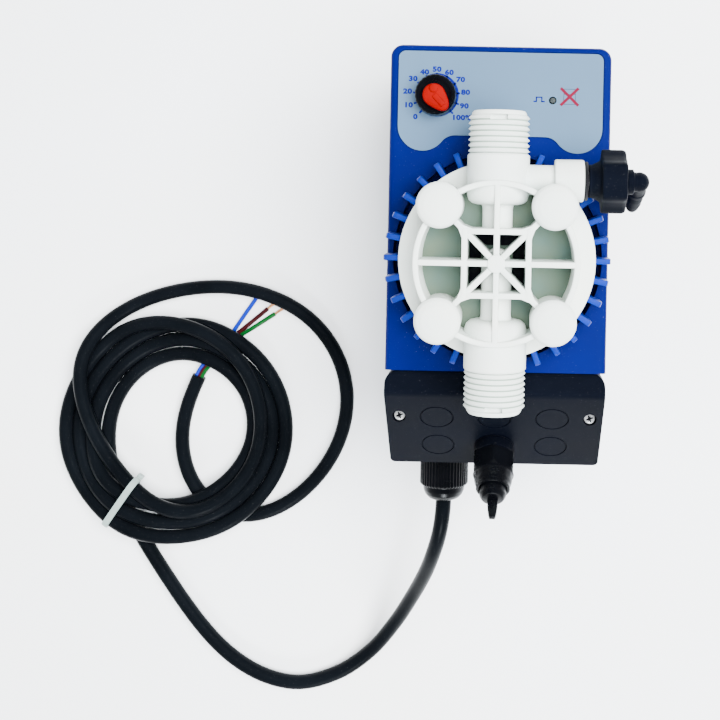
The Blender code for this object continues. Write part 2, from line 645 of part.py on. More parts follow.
def build_priming_valve():
    along = (1, 0, 0)
    at = (0, PRIMING_Y, FRONT + PORT_H)
    axis = pivot("priming_axis", at)
    make("priming_collar", tube_ring(5.4, 8.9, BLOCK_END + GAP, 40.7, at, along, steps=24),
         "rubber")
    knob = [(7.6, 41.0), (7.4, 42.0), (9.4, 46.4), (12.4, 46.8), (12.4, 57.2), (11.6, 58.0),
            (5.0, 58.0), (5.0, 41.0)]
    obj = make("priming_knob", turned(knob, at, along, steps=20), "black_plastic", at, axis)
    lobes = []
    for index in range(6):
        angle = math.radians(60 * index)
        centre = (0, at[1] + 10.6 * math.sin(angle), at[2] + 10.6 * math.cos(angle))
        lobes.append(rod(3.9, 46.6, 57.8, centre, along, steps=8))
    for lobe in lobes:
        join(obj, lobe)
    stem = [(0, 21.0), (2.4, 23.4), (4.6, 25.0), (4.6, 57.0), (0, 57.0)]
    make("priming_stem", turned(stem, at, along, steps=16), "white_plastic", at, axis)
    make("priming_clip_ring", tube_ring(2.6, 4.7, 57.4, 58.2, at, along, steps=16),
         "steel", at, axis)
    elbow = [(0, 58.5), (5.8, 58.5), (5.8, 61.2), (4.4, 61.6), (4.4, 64.2), (0, 64.2)]
    tail = make("priming_elbow", turned(elbow, at, along, steps=16), "black_plastic", at, axis)
    bend = bmesh.new()
    bmesh.ops.create_uvsphere(bend, u_segments=14, v_segments=8, radius=4.6)
    bmesh.ops.translate(bend, verts=bend.verts[:], vec=(64.2, at[1], at[2]))
    join(tail, bend)
    lean = math.radians(28)
    down = (0, -math.sin(lean), -math.cos(lean))
    nipple = [(0, 0), (3.9, 0), (3.9, 12), (3.3, 14), (3.9, 19), (3.2, 19.4), (3.8, 25),
              (2.8, 32), (0, 32)]
    join(tail, turned(nipple, (64.2, at[1], at[2]), down, steps=14))
    cut(tail, rod(1.5, 20, 40, (64.2, at[1], at[2]), down, steps=10))


# ---------------------------------------------------------------- terminal cover and glands

def cover_profile(inset):
    """The cover's side view as (y, z) points, moved inwards by a wall thickness."""
    bottom_y = -HEIGHT / 2 + inset
    foot = slope_point(0, SLOPE_LENGTH)
    back = LEDGE + GAP if inset == 0 else LEDGE - 10
    top_y = COVER_TOP_Y - inset
    ridge_y = RIDGE[0] - 0.35 * inset
    run = (ridge_y - bottom_y) * math.tan(SLOPE)
    ridge_z = RIDGE[1] - 1.2 * inset
    foot_z = foot.z if inset == 0 else ridge_z - run
    return [(top_y, back), (top_y, FRONT - 1.0 - inset), (top_y - 1.5, FRONT + 0.2 - inset),
            (ridge_y, ridge_z), (bottom_y, foot_z), (bottom_y, back)]


def build_terminal_cover():
    cover = make("terminal_cover", side_prism(cover_profile(0.0), -COVER_X, COVER_X),
                 "black_plastic")
    outline = rounded(-COVER_X, COVER_X, -HEIGHT / 2, COVER_TOP_Y, 2.5, 6.0)
    combine(cover, "INTERSECT", prism(outline, 0, 200))
    cut(cover, side_prism(cover_profile(2.5), -COVER_X + 2.5, COVER_X - 2.5))
    cut(cover, rod(8.3, 95, 115, (MAINS[0], 0, MAINS[1]), (0, -1, 0), steps=24))
    gland_at = slope_point(0, ROW_2)
    cut(cover, rod(7.5, -8, 8, gland_at, SLOPE_NORMAL, steps=24))
    screw_z = slope_point(0, ROW_1).z
    screw_y = slope_point(0, ROW_1).y
    for x in (-SCREW_X, SCREW_X):
        join(cover, rod(4.6, FRONT - 23.5, screw_z - 5, (x, screw_y, 0), steps=20))
        recess = [(0, 180), (3.3, 180), (3.3, screw_z - 8), (1.8, screw_z - 8), (1.8, 90), (0, 90)]
        cut(cover, turned(recess, (x, screw_y, 0), steps=16))
    for side, x in (("left", -SCREW_X), ("right", SCREW_X)):
        head_z = screw_z - 8 + GAP
        screw = [(0, head_z + 1.6), (0.9, head_z + 2.2), (2.2, head_z + 2.2), (2.9, head_z + 1.2),
                 (2.9, head_z), (1.4, head_z), (1.4, 92.0), (0, 90.5)]
        make(f"cover_screw_{side}", turned(screw, (x, screw_y, 0), steps=16), "steel")
    make("terminal_block", box(-40, 6, -78, -64, LEDGE + GAP, LEDGE + 17), "white_plastic")


def build_mains_gland():
    along = (0, -1, 0)
    at = (MAINS[0], 0, MAINS[1])
    wall = HEIGHT / 2
    body = [(4.7, wall - 12), (8.0, wall - 12), (8.0, wall + GAP), (12.4, wall + GAP),
            (12.4, wall + 2.6), (9.2, wall + 2.6), (9.2, wall + 16), (7.4, wall + 19),
            (4.7, wall + 19)]
    make("mains_gland_body", turned(body, at, along, steps=18), "black_plastic")
    nut = [(12.9, wall + 3.0), (12.9, wall + 17.2), (11.3, wall + 18.4), (10.7, wall + 21.5),
           (9.0, wall + 24.0), (6.6, wall + 25.4), (5.0, wall + 25.4), (5.0, wall + 21.4),
           (9.6, wall + 17.4), (9.6, wall + 3.0)]
    make("mains_gland_nut", turned(nut, at, along, steps=20), "black_plastic")


def build_signal_gland():
    at = slope_point(0, ROW_2)
    body = [(4.0, -10.0), (7.2, -10.0), (7.2, GAP), (10.0, GAP), (10.0, 6.4), (6.6, 6.4),
            (6.6, 18.5), (4.0, 18.5)]
    make("signal_gland_body", turned(body, at, SLOPE_NORMAL, steps=18), "black_plastic")
    nut = [(10.9, 6.8), (10.9, 17.0), (9.0, 21.6), (8.6, 25.4), (7.0, 25.4), (7.0, 6.8)]
    make("signal_gland_nut", turned(nut, at, SLOPE_NORMAL, steps=12), "black_plastic")
    plug = [(0, 12.0), (3.6, 12.0), (3.6, 20.0), (6.6, 20.0), (6.6, 28.6), (5.4, 30.6), (0, 31.2)]
    obj = make("blanking_plug", turned(plug, at, SLOPE_NORMAL, steps=14), "black_plastic")
    tab = bmesh.new()
    outline = [(-2.7, 27.0), (2.7, 27.0), (2.3, 37.0), (1.4, 41.0), (-1.4, 41.0), (-2.3, 37.0)]
    low = [tab.verts.new((x, -1.3, along)) for x, along in outline]
    high = [tab.verts.new((x, 1.3, along)) for x, along in outline]
    close_sides(tab, low, high)
    join(obj, place(tab, at, SLOPE_NORMAL))


# ---------------------------------------------------------------- mains lead

LEAD_ROUTE = (
    (-27.0, -117.0, 80.0), (-27.0, -128.0, 80.0), (-28.2, -139.5, 78.5), (-31.5, -157.0, 69.5),
    (-38.0, -178.0, 52.0), (-49.0, -203.0, 31.0), (-65.5, -232.0, 12.5), (-88.0, -255.0, 5.0),
    (-119.0, -264.0, 4.6), (-149.0, -256.0, 4.6), (-172.0, -236.5, 4.6), (-193.0, -210.5, 4.6),
    (-212.0, -182.0, 4.6))
LOOP_ROUTE = (
    (-242.0, -52.0, 20.0), (-224.0, -36.0, 19.5), (-197.0, -24.0, 17.0), (-165.0, -21.0, 13.0),
    (-136.0, -28.0, 8.5), (-111.5, -46.0, 5.0), (-95.5, -69.0, 4.6), (-91.5, -92.0, 4.6),
    (-97.5, -116.0, 4.6), (-110.0, -134.0, 4.6), (-127.0, -148.0, 4.6), (-139.5, -157.0, 4.6))
TAIL_ROUTE = (
    (-182.5, -142.0, 5.2), (-189.0, -129.0, 4.6), (-192.5, -113.5, 4.6), (-190.5, -95.5, 4.6),
    (-181.5, -77.5, 4.6))
WIRE_ENDS = (
    ("blue_wire", (-157.5, -47.0, 1.6), (-153.0, -39.0, 1.6), (-147.5, -28.5, 1.6)),
    ("brown_wire", (-153.5, -49.5, 1.6), (-147.0, -42.0, 1.6), (-139.0, -34.0, 1.6)),
    ("green_wire", (-149.5, -52.0, 1.6), (-142.0, -44.5, 1.6), (-134.5, -37.0, 1.6)))


def build_lead():
    cable("mains_lead", LEAD_ROUTE, CORD_R, "cord_jacket", 17.0)
    cable("cord_loop", LOOP_ROUTE, CORD_R, "cord_jacket", 17.0)
    cable("cord_tail", TAIL_ROUTE, CORD_R, "cord_jacket", 12.0)
    for name, *points in WIRE_ENDS:
        cable(name, points, 1.3, name, 6.0, 1)
    edge = 3.5
    section = [(COIL_OUT, COIL_TOP - edge), (COIL_OUT, COIL_LOW + edge),
               (COIL_OUT - edge, COIL_LOW), (COIL_IN + edge, COIL_LOW),
               (COIL_IN, COIL_LOW + edge), (COIL_IN, COIL_TOP - edge),
               (COIL_IN + edge, COIL_TOP), (COIL_OUT - edge, COIL_TOP)]
    make("cord_coil", turned(section, (*COIL_CENTRE, 0), steps=28), "cord_jacket")


def build_cable_tie():
    strap, width, clearance = 1.2, 3.4, 0.35
    middle = (COIL_IN + COIL_OUT) / 2
    half = (COIL_OUT - COIL_IN) / 2 + clearance
    low, high = COIL_LOW - clearance, COIL_TOP + clearance
    outer = [(middle - half - strap, low - strap), (middle + half + strap, low - strap),
             (middle + half + strap, high + strap), (middle - half - strap, high + strap)]
    inner = [(middle - half, low), (middle + half, low), (middle + half, high),
             (middle - half, high)]
    turn = Matrix.Rotation(TIE_ANGLE, 4, "Z")
    placing = Matrix.Translation((*COIL_CENTRE, 0)) @ turn
    solids = []
    for outline, reach in ((outer, width / 2), (inner, width)):
        bm = bmesh.new()
        near = [bm.verts.new((r, -reach, z)) for r, z in outline]
        far = [bm.verts.new((r, reach, z)) for r, z in outline]
        close_sides(bm, near, far)
        bmesh.ops.transform(bm, matrix=placing, verts=bm.verts[:])
        solids.append(bm)
    tie = make("cable_tie", solids[0], "tie_nylon")
    cut(tie, solids[1])
    latch = box(middle - half - strap - 3.6, middle - half - strap + 0.6, -2.6, 2.6, 9.0, 14.5)
    bmesh.ops.transform(latch, matrix=placing, verts=latch.verts[:])
    join(tie, latch)


build_wall_bracket()
build_back_cover()
build_housing()
build_label_and_lamp()
build_dial()
build_cooling_ring()
build_solenoid()
build_plunger()
build_pump_head()
build_head_insert()
build_fasteners()
build_valves()
build_priming_valve()
build_terminal_cover()
build_mains_gland()
build_signal_gland()
build_lead()
build_cable_tie()
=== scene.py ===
"""Looks of a solenoid diaphragm dosing pump on its back, with its mains lead coiled beside it."""
import math

import bmesh
import bpy
import numpy as np
from mathutils import Matrix, Vector


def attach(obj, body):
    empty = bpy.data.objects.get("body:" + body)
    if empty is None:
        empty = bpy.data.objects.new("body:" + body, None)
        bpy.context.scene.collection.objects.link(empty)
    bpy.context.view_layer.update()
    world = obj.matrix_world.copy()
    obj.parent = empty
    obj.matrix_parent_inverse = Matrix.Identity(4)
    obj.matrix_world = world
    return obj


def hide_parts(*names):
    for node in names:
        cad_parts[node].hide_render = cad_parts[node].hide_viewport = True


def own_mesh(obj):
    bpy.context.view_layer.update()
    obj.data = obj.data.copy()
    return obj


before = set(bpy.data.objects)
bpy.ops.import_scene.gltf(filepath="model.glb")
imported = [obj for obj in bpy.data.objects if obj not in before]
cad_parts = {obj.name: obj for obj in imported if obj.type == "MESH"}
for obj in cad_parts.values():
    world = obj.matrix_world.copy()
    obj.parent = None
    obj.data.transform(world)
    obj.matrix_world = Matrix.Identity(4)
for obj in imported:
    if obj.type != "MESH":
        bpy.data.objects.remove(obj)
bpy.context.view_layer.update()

# All sizes are in millimetres, and MM turns them into the scene's metres.
MM = 0.001
FRONT, HUB_Y = 140.0, 3.1                   # the front face's height and the pump head's axis
WIDTH, HEIGHT, CORNER = 107.0, 210.6, 6.0   # the housing
WALL, LID_WALL = 3.0, 2.5
PORT_H = 30.0                               # the ports' axis above the front face
SPLIT_Y, LEDGE = -52.2, 56.0                # where the terminal cover meets the housing
WELL_R, WELL_DEPTH = 50.5, 13.0             # the recess that the fins stand in
DIAL, LAMP = (-31.0, 80.6), (25.2, 79.5)
DIAL_HOLE, LAMP_HOLE = 4.5, 1.9
PRINT_Z = FRONT - 0.2                       # the label film's face
PRIMING_Y = HUB_Y + 37.5
SLOPE = math.radians(42.0)
SLOPE_LENGTH = 56.8
SLOPE_NORMAL = Vector((0.0, -math.sin(SLOPE), math.cos(SLOPE)))
RIDGE = (-63.2, FRONT + 3.0)                # the terminal cover's ridge, as (y, z)
ROW_1, ROW_2 = 0.315 * SLOPE_LENGTH, 0.72 * SLOPE_LENGTH
COVER_X, SCREW_X, KNOCK_OUT_X = 53.3, 47.0, 28.4
MAINS = (-27.0, 80.0)                       # the mains gland's axis, as (x, z)
MAINS_HOLE, SIGNAL_HOLE = 8.3, 7.5
BOLT = 25.6                                 # from the head's axis to its screws, along x and y
FINS = 32
CORD_R, CLEAR = 4.2, 0.35                   # the cord's radius, and its gap to floor and tie
COIL_CENTRE = (-193.7, -112.7)
SHARP = 35.0                                # degrees from which an edge is shaded sharp


# ---- camera, floor and light

def link(obj):
    bpy.context.scene.collection.objects.link(obj)


def baked(bm, name):
    """Turn a bmesh into a mesh, and free it."""
    mesh = bpy.data.meshes.new(name)
    bm.to_mesh(mesh)
    bm.free()
    return mesh


def make_camera():
    data = bpy.data.cameras.new("camera")
    data.lens, data.sensor_width = 53.82, 36.0
    data.shift_x, data.shift_y = -0.2083, -0.2377
    camera = bpy.data.objects.new("camera", data)
    camera.location = (0.0054, 0.0364, 0.660)
    camera.rotation_euler = (0.0, 0.0, math.radians(1.15))
    link(camera)
    bpy.context.scene.camera = camera


def area_light(name, place_at, target, size, power, colour, glossy=True):
    data = bpy.data.lights.new(name, "AREA")
    data.shape, data.size = "DISK", size
    data.energy, data.color = power, colour
    lamp = bpy.data.objects.new(name, data)
    lamp.location = place_at
    lamp.rotation_euler = (Vector(target) - Vector(place_at)).to_track_quat("-Z", "Y").to_euler()
    lamp.visible_glossy = glossy
    link(lamp)


def make_studio():
    bm = bmesh.new()
    bmesh.ops.create_grid(bm, x_segments=8, y_segments=8, size=3.0)
    floor = bpy.data.objects.new("floor", baked(bm, "floor"))
    link(floor)
    paper = surface("floor_paper", (0.93, 0.935, 0.92), 0.8, spread=0.01, patch=4.0, grain=900.0,
                    bump=0.03, second=(0.90, 0.93, 0.97))
    floor.data.materials.append(paper)
    middle = (-0.08, -0.06, 0.0)
    area_light("sky", (0.50, 0.15, 1.50), middle, 1.5, 178.0, (0.97, 0.985, 1.0), glossy=False)
    area_light("window", (0.05, -1.45, 0.86), middle, 0.42, 22.0, (0.90, 0.96, 1.0))
    area_light("room", (-1.20, -0.30, 0.95), middle, 1.0, 14.0, (0.92, 0.96, 1.0), glossy=False)
    world = bpy.data.worlds.new("studio")
    world.use_nodes = True
    nodes, links = world.node_tree.nodes, world.node_tree.links
    where = nodes.new("ShaderNodeTexCoord")
    split = nodes.new("ShaderNodeSeparateXYZ")
    ramp = nodes.new("ShaderNodeValToRGB")
    links.new(where.outputs["Generated"], split.inputs["Vector"])
    links.new(split.outputs["Z"], ramp.inputs["Fac"])
    ramp.color_ramp.elements[0].position = 0.25
    ramp.color_ramp.elements[0].color = (1.0, 1.0, 1.0, 1.0)
    ramp.color_ramp.elements[1].position = 0.80
    ramp.color_ramp.elements[1].color = (0.03, 0.035, 0.05, 1.0)
    links.new(ramp.outputs["Color"], nodes["Background"].inputs["Color"])
    nodes["Background"].inputs["Strength"].default_value = 0.7
    bpy.context.scene.world = world


# ---- materials

MATERIALS = {}


def surface(name, colour, roughness, metallic=0.0, spread=0.08, patch=55.0, grain=2600.0,
            bump=0.12, depth=0.00006, specks=0.0, wander=0.05, transmission=0.0, second=None,
            shine=0.5):
    """Make a surface and note it: mottled colour, uneven gloss, fine grain and specks."""
    material = bpy.data.materials.new(name)
    material.use_nodes = True
    tree = material.node_tree
    nodes, links = tree.nodes, tree.links
    shader = nodes["Principled BSDF"]
    shader.inputs["Metallic"].default_value = metallic
    shader.inputs["Transmission Weight"].default_value = transmission
    shader.inputs["Specular IOR Level"].default_value = shine
    where = nodes.new("ShaderNodeTexCoord")

    def noise(scale, detail=3.0):
        node = nodes.new("ShaderNodeTexNoise")
        node.inputs["Scale"].default_value = scale
        node.inputs["Detail"].default_value = detail
        links.new(where.outputs["Object"], node.inputs["Vector"])
        return node.outputs["Fac"]

    def mapped(value, low, high, start=0.3, end=0.7):
        node = nodes.new("ShaderNodeMapRange")
        node.inputs["From Min"].default_value = start
        node.inputs["From Max"].default_value = end
        node.inputs["To Min"].default_value = low
        node.inputs["To Max"].default_value = high
        links.new(value, node.inputs["Value"])
        return node.outputs["Result"]

    def mixed(factor, first, last):
        node = nodes.new("ShaderNodeMix")
        node.data_type = "RGBA"
        links.new(factor, node.inputs["Factor"])
        for socket, value in ((node.inputs["A"], first), (node.inputs["B"], last)):
            if isinstance(value, tuple):
                socket.default_value = (*value, 1.0)
            else:
                links.new(value, socket)
        return node.outputs["Result"]

    cloudy = noise(patch)
    darker = tuple(c * (1 - spread) for c in colour)
    lighter = tuple(min(1.0, c * (1 + spread)) for c in (second or colour))
    paint = mixed(mapped(cloudy, 0.0, 1.0), darker, lighter)
    if specks > 0:
        dust = mapped(noise(1400.0, 1.0), 0.0, specks, 0.71, 0.76)
        paint = mixed(dust, paint, tuple(min(1.0, c * 2 + 0.25) for c in colour))
    links.new(paint, shader.inputs["Base Color"])
    links.new(mapped(cloudy, roughness - wander, roughness + wander), shader.inputs["Roughness"])
    relief = nodes.new("ShaderNodeBump")
    relief.inputs["Strength"].default_value = bump
    relief.inputs["Distance"].default_value = depth
    links.new(noise(grain), relief.inputs["Height"])
    links.new(relief.outputs["Normal"], shader.inputs["Normal"])
    MATERIALS[name] = material
    return material


surface("blue_plastic", (0.0001, 0.0024, 0.060), 0.44, spread=0.10, patch=28.0, bump=0.10,
        specks=0.15, shine=0.12)
surface("fin_blue", (0.0008, 0.014, 0.17), 0.40, spread=0.10, patch=40.0, bump=0.08, shine=0.25)
surface("black_plastic", (0.0010, 0.0013, 0.0026), 0.50, spread=0.25, patch=40.0, bump=0.22,
        specks=0.05, shine=0.12)
surface("cover_black", (0.0015, 0.0021, 0.0042), 0.52, spread=0.20, patch=40.0, bump=0.22,
        specks=0.05, shine=0.03)
surface("gloss_black", (0.0012, 0.0014, 0.0020), 0.30, spread=0.2, patch=90.0, bump=0.05,
        shine=0.13)
surface("white_plastic", (0.60, 0.66, 0.635), 0.42, spread=0.02, patch=35.0, bump=0.05,
        second=(0.64, 0.67, 0.62), shine=0.3)
# Painted shade: a dark grey-green that stands for the shade on the head's recess floor.
surface("painted_recess_shade", (0.070, 0.115, 0.098), 0.55, spread=0.05, patch=60.0, bump=0.05,
        second=(0.085, 0.115, 0.082), shine=0.2)
# Painted shade: grey-green for the roots of the port threads.
surface("painted_groove_shade", (0.20, 0.26, 0.22), 0.55, spread=0.05, patch=60.0, bump=0.05, shine=0.2)
surface("label_film", (0.062, 0.110, 0.170), 0.48, spread=0.035, patch=26.0, grain=4200.0,
        bump=0.2, shine=0.3)
surface("red_plastic", (0.15, 0.0001, 0.0001), 0.36, spread=0.12, patch=160.0, bump=0.10,
        shine=0.05)
surface("lamp_lens", (0.030, 0.036, 0.036), 0.3, spread=0.1, patch=500.0, bump=0.05, shine=0.3)
surface("steel", (0.60, 0.61, 0.62), 0.30, metallic=0.45, spread=0.15, patch=300.0, grain=1800.0,
        bump=0.12)
surface("copper", (0.72, 0.34, 0.15), 0.32, metallic=1.0, spread=0.15, patch=600.0, bump=0.15)
surface("board", (0.02, 0.17, 0.07), 0.5, spread=0.2, patch=120.0)
surface("rubber", (0.006, 0.006, 0.007), 0.62, spread=0.2, bump=0.2, shine=0.2)
surface("ptfe", (0.85, 0.85, 0.83), 0.5, spread=0.03)
surface("ceramic", (0.86, 0.84, 0.78), 0.15, spread=0.03, bump=0.02)
surface("cord_jacket", (0.0021, 0.0028, 0.0038), 0.30, spread=0.3, patch=30.0, grain=700.0,
        bump=0.10, depth=0.0001, specks=0.05, wander=0.04, shine=0.025)
surface("tie_nylon", (0.30, 0.38, 0.36), 0.36, spread=0.05, patch=200.0, bump=0.1,
        transmission=0.2)
surface("blue_wire", (0.0006, 0.014, 0.27), 0.34, spread=0.12, patch=200.0, shine=0.3)
surface("brown_wire", (0.026, 0.0028, 0.0040), 0.36, spread=0.15, patch=200.0, shine=0.3)
surface("green_wire", (0.0004, 0.055, 0.008), 0.36, spread=0.15, patch=200.0, shine=0.3)
surface("blue_print", (0.0003, 0.002, 0.11), 0.45, spread=0.06, patch=300.0, shine=0.2)
surface("red_print", (0.10, 0.003, 0.016), 0.45, spread=0.08, patch=300.0, shine=0.2)
surface("grey_print", (0.020, 0.028, 0.045), 0.45, spread=0.08, patch=300.0, shine=0.2)


# ---- mesh building blocks

def finish_piece(name, bm, material, replaces=(), body="pump", bevel=0.0):
    """Make a piece from a mesh in millimetres, on its CAD body and in place of CAD nodes."""
    bmesh.ops.scale(outward(bm), verts=bm.verts[:], vec=(MM, MM, MM))
    mesh = baked(bm, name)
    dress(mesh, material)
    obj = bpy.data.objects.new(name, mesh)
    if bevel > 0:
        modifier = obj.modifiers.new("edges", "BEVEL")
        modifier.width, modifier.segments = bevel * MM, 2
        modifier.limit_method, modifier.angle_limit = "ANGLE", math.radians(32.0)
        modifier.harden_normals = True
    return enter(obj, replaces, body)


def enter(obj, replaces, body):
    """Put a piece into the scene on its body, and hide the CAD nodes that it replaces."""
    link(obj)
    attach(obj, body)
    if replaces:
        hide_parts(*replaces)
    return obj


def dress(mesh, material):
    mesh.materials.clear()
    mesh.materials.append(MATERIALS[material])
    mesh.shade_smooth()
    mesh.set_sharp_from_angle(angle=math.radians(SHARP))


def outward(bm):
    bmesh.ops.recalc_face_normals(bm, faces=bm.faces[:])
    return bm


def moved(bm, matrix):
    bmesh.ops.transform(bm, matrix=matrix, verts=bm.verts[:])
    return bm


def merge(meshes):
    merged = bmesh.new()
    for bm in meshes:
        scratch = baked(bm, "scratch")
        merged.from_mesh(scratch)
        bpy.data.meshes.remove(scratch)
    return merged


def combine(base, *tools):
    """Boolean on meshes in millimetres; each tool is (operation, mesh), as in ("UNION", bm)."""
    mesh = baked(outward(base), "work")
    for operation, bm in tools:
        first = bpy.data.objects.new("work", mesh)
        second = bpy.data.objects.new("tool", baked(outward(bm), "tool"))
        link(first)
        link(second)
        modifier = first.modifiers.new("shape", "BOOLEAN")
        modifier.operation, modifier.solver, modifier.object = operation, "EXACT", second
        mesh = bpy.data.meshes.new_from_object(
            first.evaluated_get(bpy.context.evaluated_depsgraph_get()))
        for obj in (first, second):
            bpy.data.objects.remove(obj, do_unlink=True)
    done = bmesh.new()
    done.from_mesh(mesh)
    bmesh.ops.remove_doubles(done, verts=done.verts[:], dist=0.002)
    bmesh.ops.dissolve_limit(done, angle_limit=math.radians(0.05), verts=done.verts[:],
                             edges=done.edges[:])
    return done


def cut(base, *tools):
    return combine(base, *[("DIFFERENCE", tool) for tool in tools])


def place(bm, centre, direction):
    """Stand a mesh on a centre, its Z axis along a direction."""
    turn = Vector((0, 0, 1)).rotation_difference(Vector(direction)).to_matrix().to_4x4()
    return moved(bm, Matrix.Translation(Vector(centre)) @ turn)


def spun(bm, degrees, centre):
    """Turn a mesh about Z and move it to a centre."""
    turn = Matrix.Rotation(math.radians(degrees), 4, "Z")
    return moved(bm, Matrix.Translation(Vector(centre)) @ turn)


def eased(bm, radius, segments=2):
    """Round every edge of a mesh."""
    bmesh.ops.bevel(outward(bm), geom=bm.edges[:], offset=radius, segments=segments,
                    affect="EDGES", profile=0.5)
    return bm


def bend(start, corner, end, steps):
    """Points of a curve from start to end that is drawn towards a corner."""
    out = []
    for step in range(steps + 1):
        t = step / steps
        q = start * (1 - t) ** 2 + corner * 2 * t * (1 - t) + end * t * t
        out.append((q.x, q.y))
    return out


def softened(profile, radius):
    """Round each corner of a closed (radius, height) profile that is off the axis."""
    count, out = len(profile), []
    for index, point in enumerate(profile):
        before, after = profile[index - 1], profile[(index + 1) % count]
        if point[0] < 1e-6:
            out.append(point)
            continue
        p = Vector(point)
        a, b = Vector(before) - p, Vector(after) - p
        if a.length < 1e-6 or b.length < 1e-6:
            out.append(point)
            continue
        reach = min(radius, 0.42 * a.length, 0.42 * b.length)
        out += bend(p + a.normalized() * reach, p, p + b.normalized() * reach, 3)
    return out


def turned(profile, centre=(0, 0, 0), direction=(0, 0, 1), steps=64, soft=0.0, wave=None):
    """Turn a closed profile of (radius, along); wave(angle, radius, along) may reshape it."""
    if soft > 0:
        profile = softened(profile, soft)
    bm = bmesh.new()
    angles = [2 * math.pi * step / steps for step in range(steps)]
    rings = []
    for radius, along in profile:
        if radius < 1e-6:
            rings.append([bm.verts.new((0, 0, along))])
            continue
        ring = []
        for angle in angles:
            r = radius if wave is None else wave(angle, radius, along)
            ring.append(bm.verts.new((r * math.cos(angle), r * math.sin(angle), along)))
        rings.append(ring)
    for ring, following in zip(rings, rings[1:] + rings[:1]):
        for step in range(steps):
            after = (step + 1) % steps
            corners = dict.fromkeys((ring[step % len(ring)], following[step % len(following)],
                                     following[after % len(following)], ring[after % len(ring)]))
            if len(corners) > 2:
                bm.faces.new(corners)
    return place(bm, centre, direction)


def tube(inner, outer, low, high, centre=(0, 0, 0), direction=(0, 0, 1), steps=64, soft=0.0):
    return turned([(inner, low), (outer, low), (outer, high), (inner, high)], centre, direction,
                  steps, soft)


def rod(radius, low, high, centre=(0, 0, 0), direction=(0, 0, 1), steps=48, soft=0.0):
    return tube(0, radius, low, high, centre, direction, steps, soft)


def stacked(layers):
    """Loft closed outlines of equal counts, given as lists of 3-D points, and cap both ends."""
    bm = bmesh.new()
    rings = [[bm.verts.new(point) for point in layer] for layer in layers]
    bm.faces.new(list(reversed(rings[0])))
    bm.faces.new(rings[-1])
    for low, high in zip(rings, rings[1:]):
        for index in range(len(low)):
            after = (index + 1) % len(low)
            bm.faces.new((low[index], low[after], high[after], high[index]))
    return bm


def prism(outline, low, high):
    return stacked([[(x, y, z) for x, y in outline] for z in (low, high)])


def side_prism(outline, low_x, high_x):
    return stacked([[(x, y, z) for y, z in outline] for x in (low_x, high_x)])


def box(x0, x1, y0, y1, z0, z1):
    return prism([(x0, y0), (x1, y0), (x1, y1), (x0, y1)], z0, z1)


def soft_box(x0, x1, y0, y1, z0, z1, radius, segments=2):
    return eased(box(x0, x1, y0, y1, z0, z1), radius, segments)


def arc(centre, radius, start, end, steps):
    points = []
    for step in range(steps + 1):
        angle = math.radians(start + (end - start) * step / steps)
        points.append((centre[0] + radius * math.cos(angle),
                       centre[1] + radius * math.sin(angle)))
    return points


def rounded(x0, x1, y0, y1, radius, top_radius=None, steps=8):
    top = radius if top_radius is None else top_radius
    return (arc((x1 - radius, y0 + radius), radius, -90, 0, steps)
            + arc((x1 - top, y1 - top), top, 0, 90, steps)
            + arc((x0 + top, y1 - top), top, 90, 180, steps)
            + arc((x0 + radius, y0 + radius), radius, 180, 270, steps))


def smooth_route(points, spacing):
    """A smooth curve through the given points, read at an even spacing."""
    points = [Vector(point) for point in points]
    padded = [2 * points[0] - points[1]] + points + [2 * points[-1] - points[-2]]
    fine = []
    for a, b, c, d in zip(padded, padded[1:], padded[2:], padded[3:]):
        for step in range(24):
            t = step / 24
            fine.append(0.5 * (2 * b + (c - a) * t + (2 * a - 5 * b + 4 * c - d) * t * t
                               + (3 * b - a - 3 * c + d) * t ** 3))
    fine.append(points[-1])
    fine = np.array([list(p) for p in fine])
    steps = np.linalg.norm(np.diff(fine, axis=0), axis=1)
    run = np.concatenate([[0.0], np.cumsum(steps)])
    wanted = np.linspace(0.0, run[-1], max(3, round(run[-1] / spacing) + 1))
    return np.stack([np.interp(wanted, run, fine[:, k]) for k in range(3)], axis=1)


def strand(name, points, radius, material, replaces, sides):
    """A round cord through the points, given in millimetres."""
    curve = bpy.data.curves.new(name, "CURVE")
    curve.dimensions = "3D"
    curve.bevel_depth = radius * MM
    curve.bevel_resolution = sides
    curve.use_fill_caps = True
    spline = curve.splines.new("POLY")
    spline.points.add(len(points) - 1)
    for point, at in zip(spline.points, points):
        point.co = (at[0] * MM, at[1] * MM, at[2] * MM, 1.0)
    spline.use_smooth = True
    curve.materials.append(MATERIALS[material])
    return enter(bpy.data.objects.new(name, curve), replaces, "pump")


def hub(height):
    return (0.0, HUB_Y, FRONT + height)


def slope_point(x, along):
    return Vector((x, RIDGE[0] - along * math.cos(SLOPE), RIDGE[1] - along * math.sin(SLOPE)))


make_camera()
make_studio()


# ---- mains lead

LEAD = [(-27, -117, 80), (-27, -127, 80), (-27.3, -137, 79.4), (-29, -150, 75.6),
        (-32.8, -165, 66.3), (-38.1, -181.1, 52.5), (-46.2, -200.2, 35.5), (-57.9, -222.8, 19.5),
        (-73.5, -244.4, 9), (-94, -259.9, 5.2), (-119.5, -266.4, 4.6), (-147.5, -258.4, 4.6),
        (-171, -239.4, 4.6), (-189, -215.9, 4.6), (-204.5, -193.7, 4.6)]
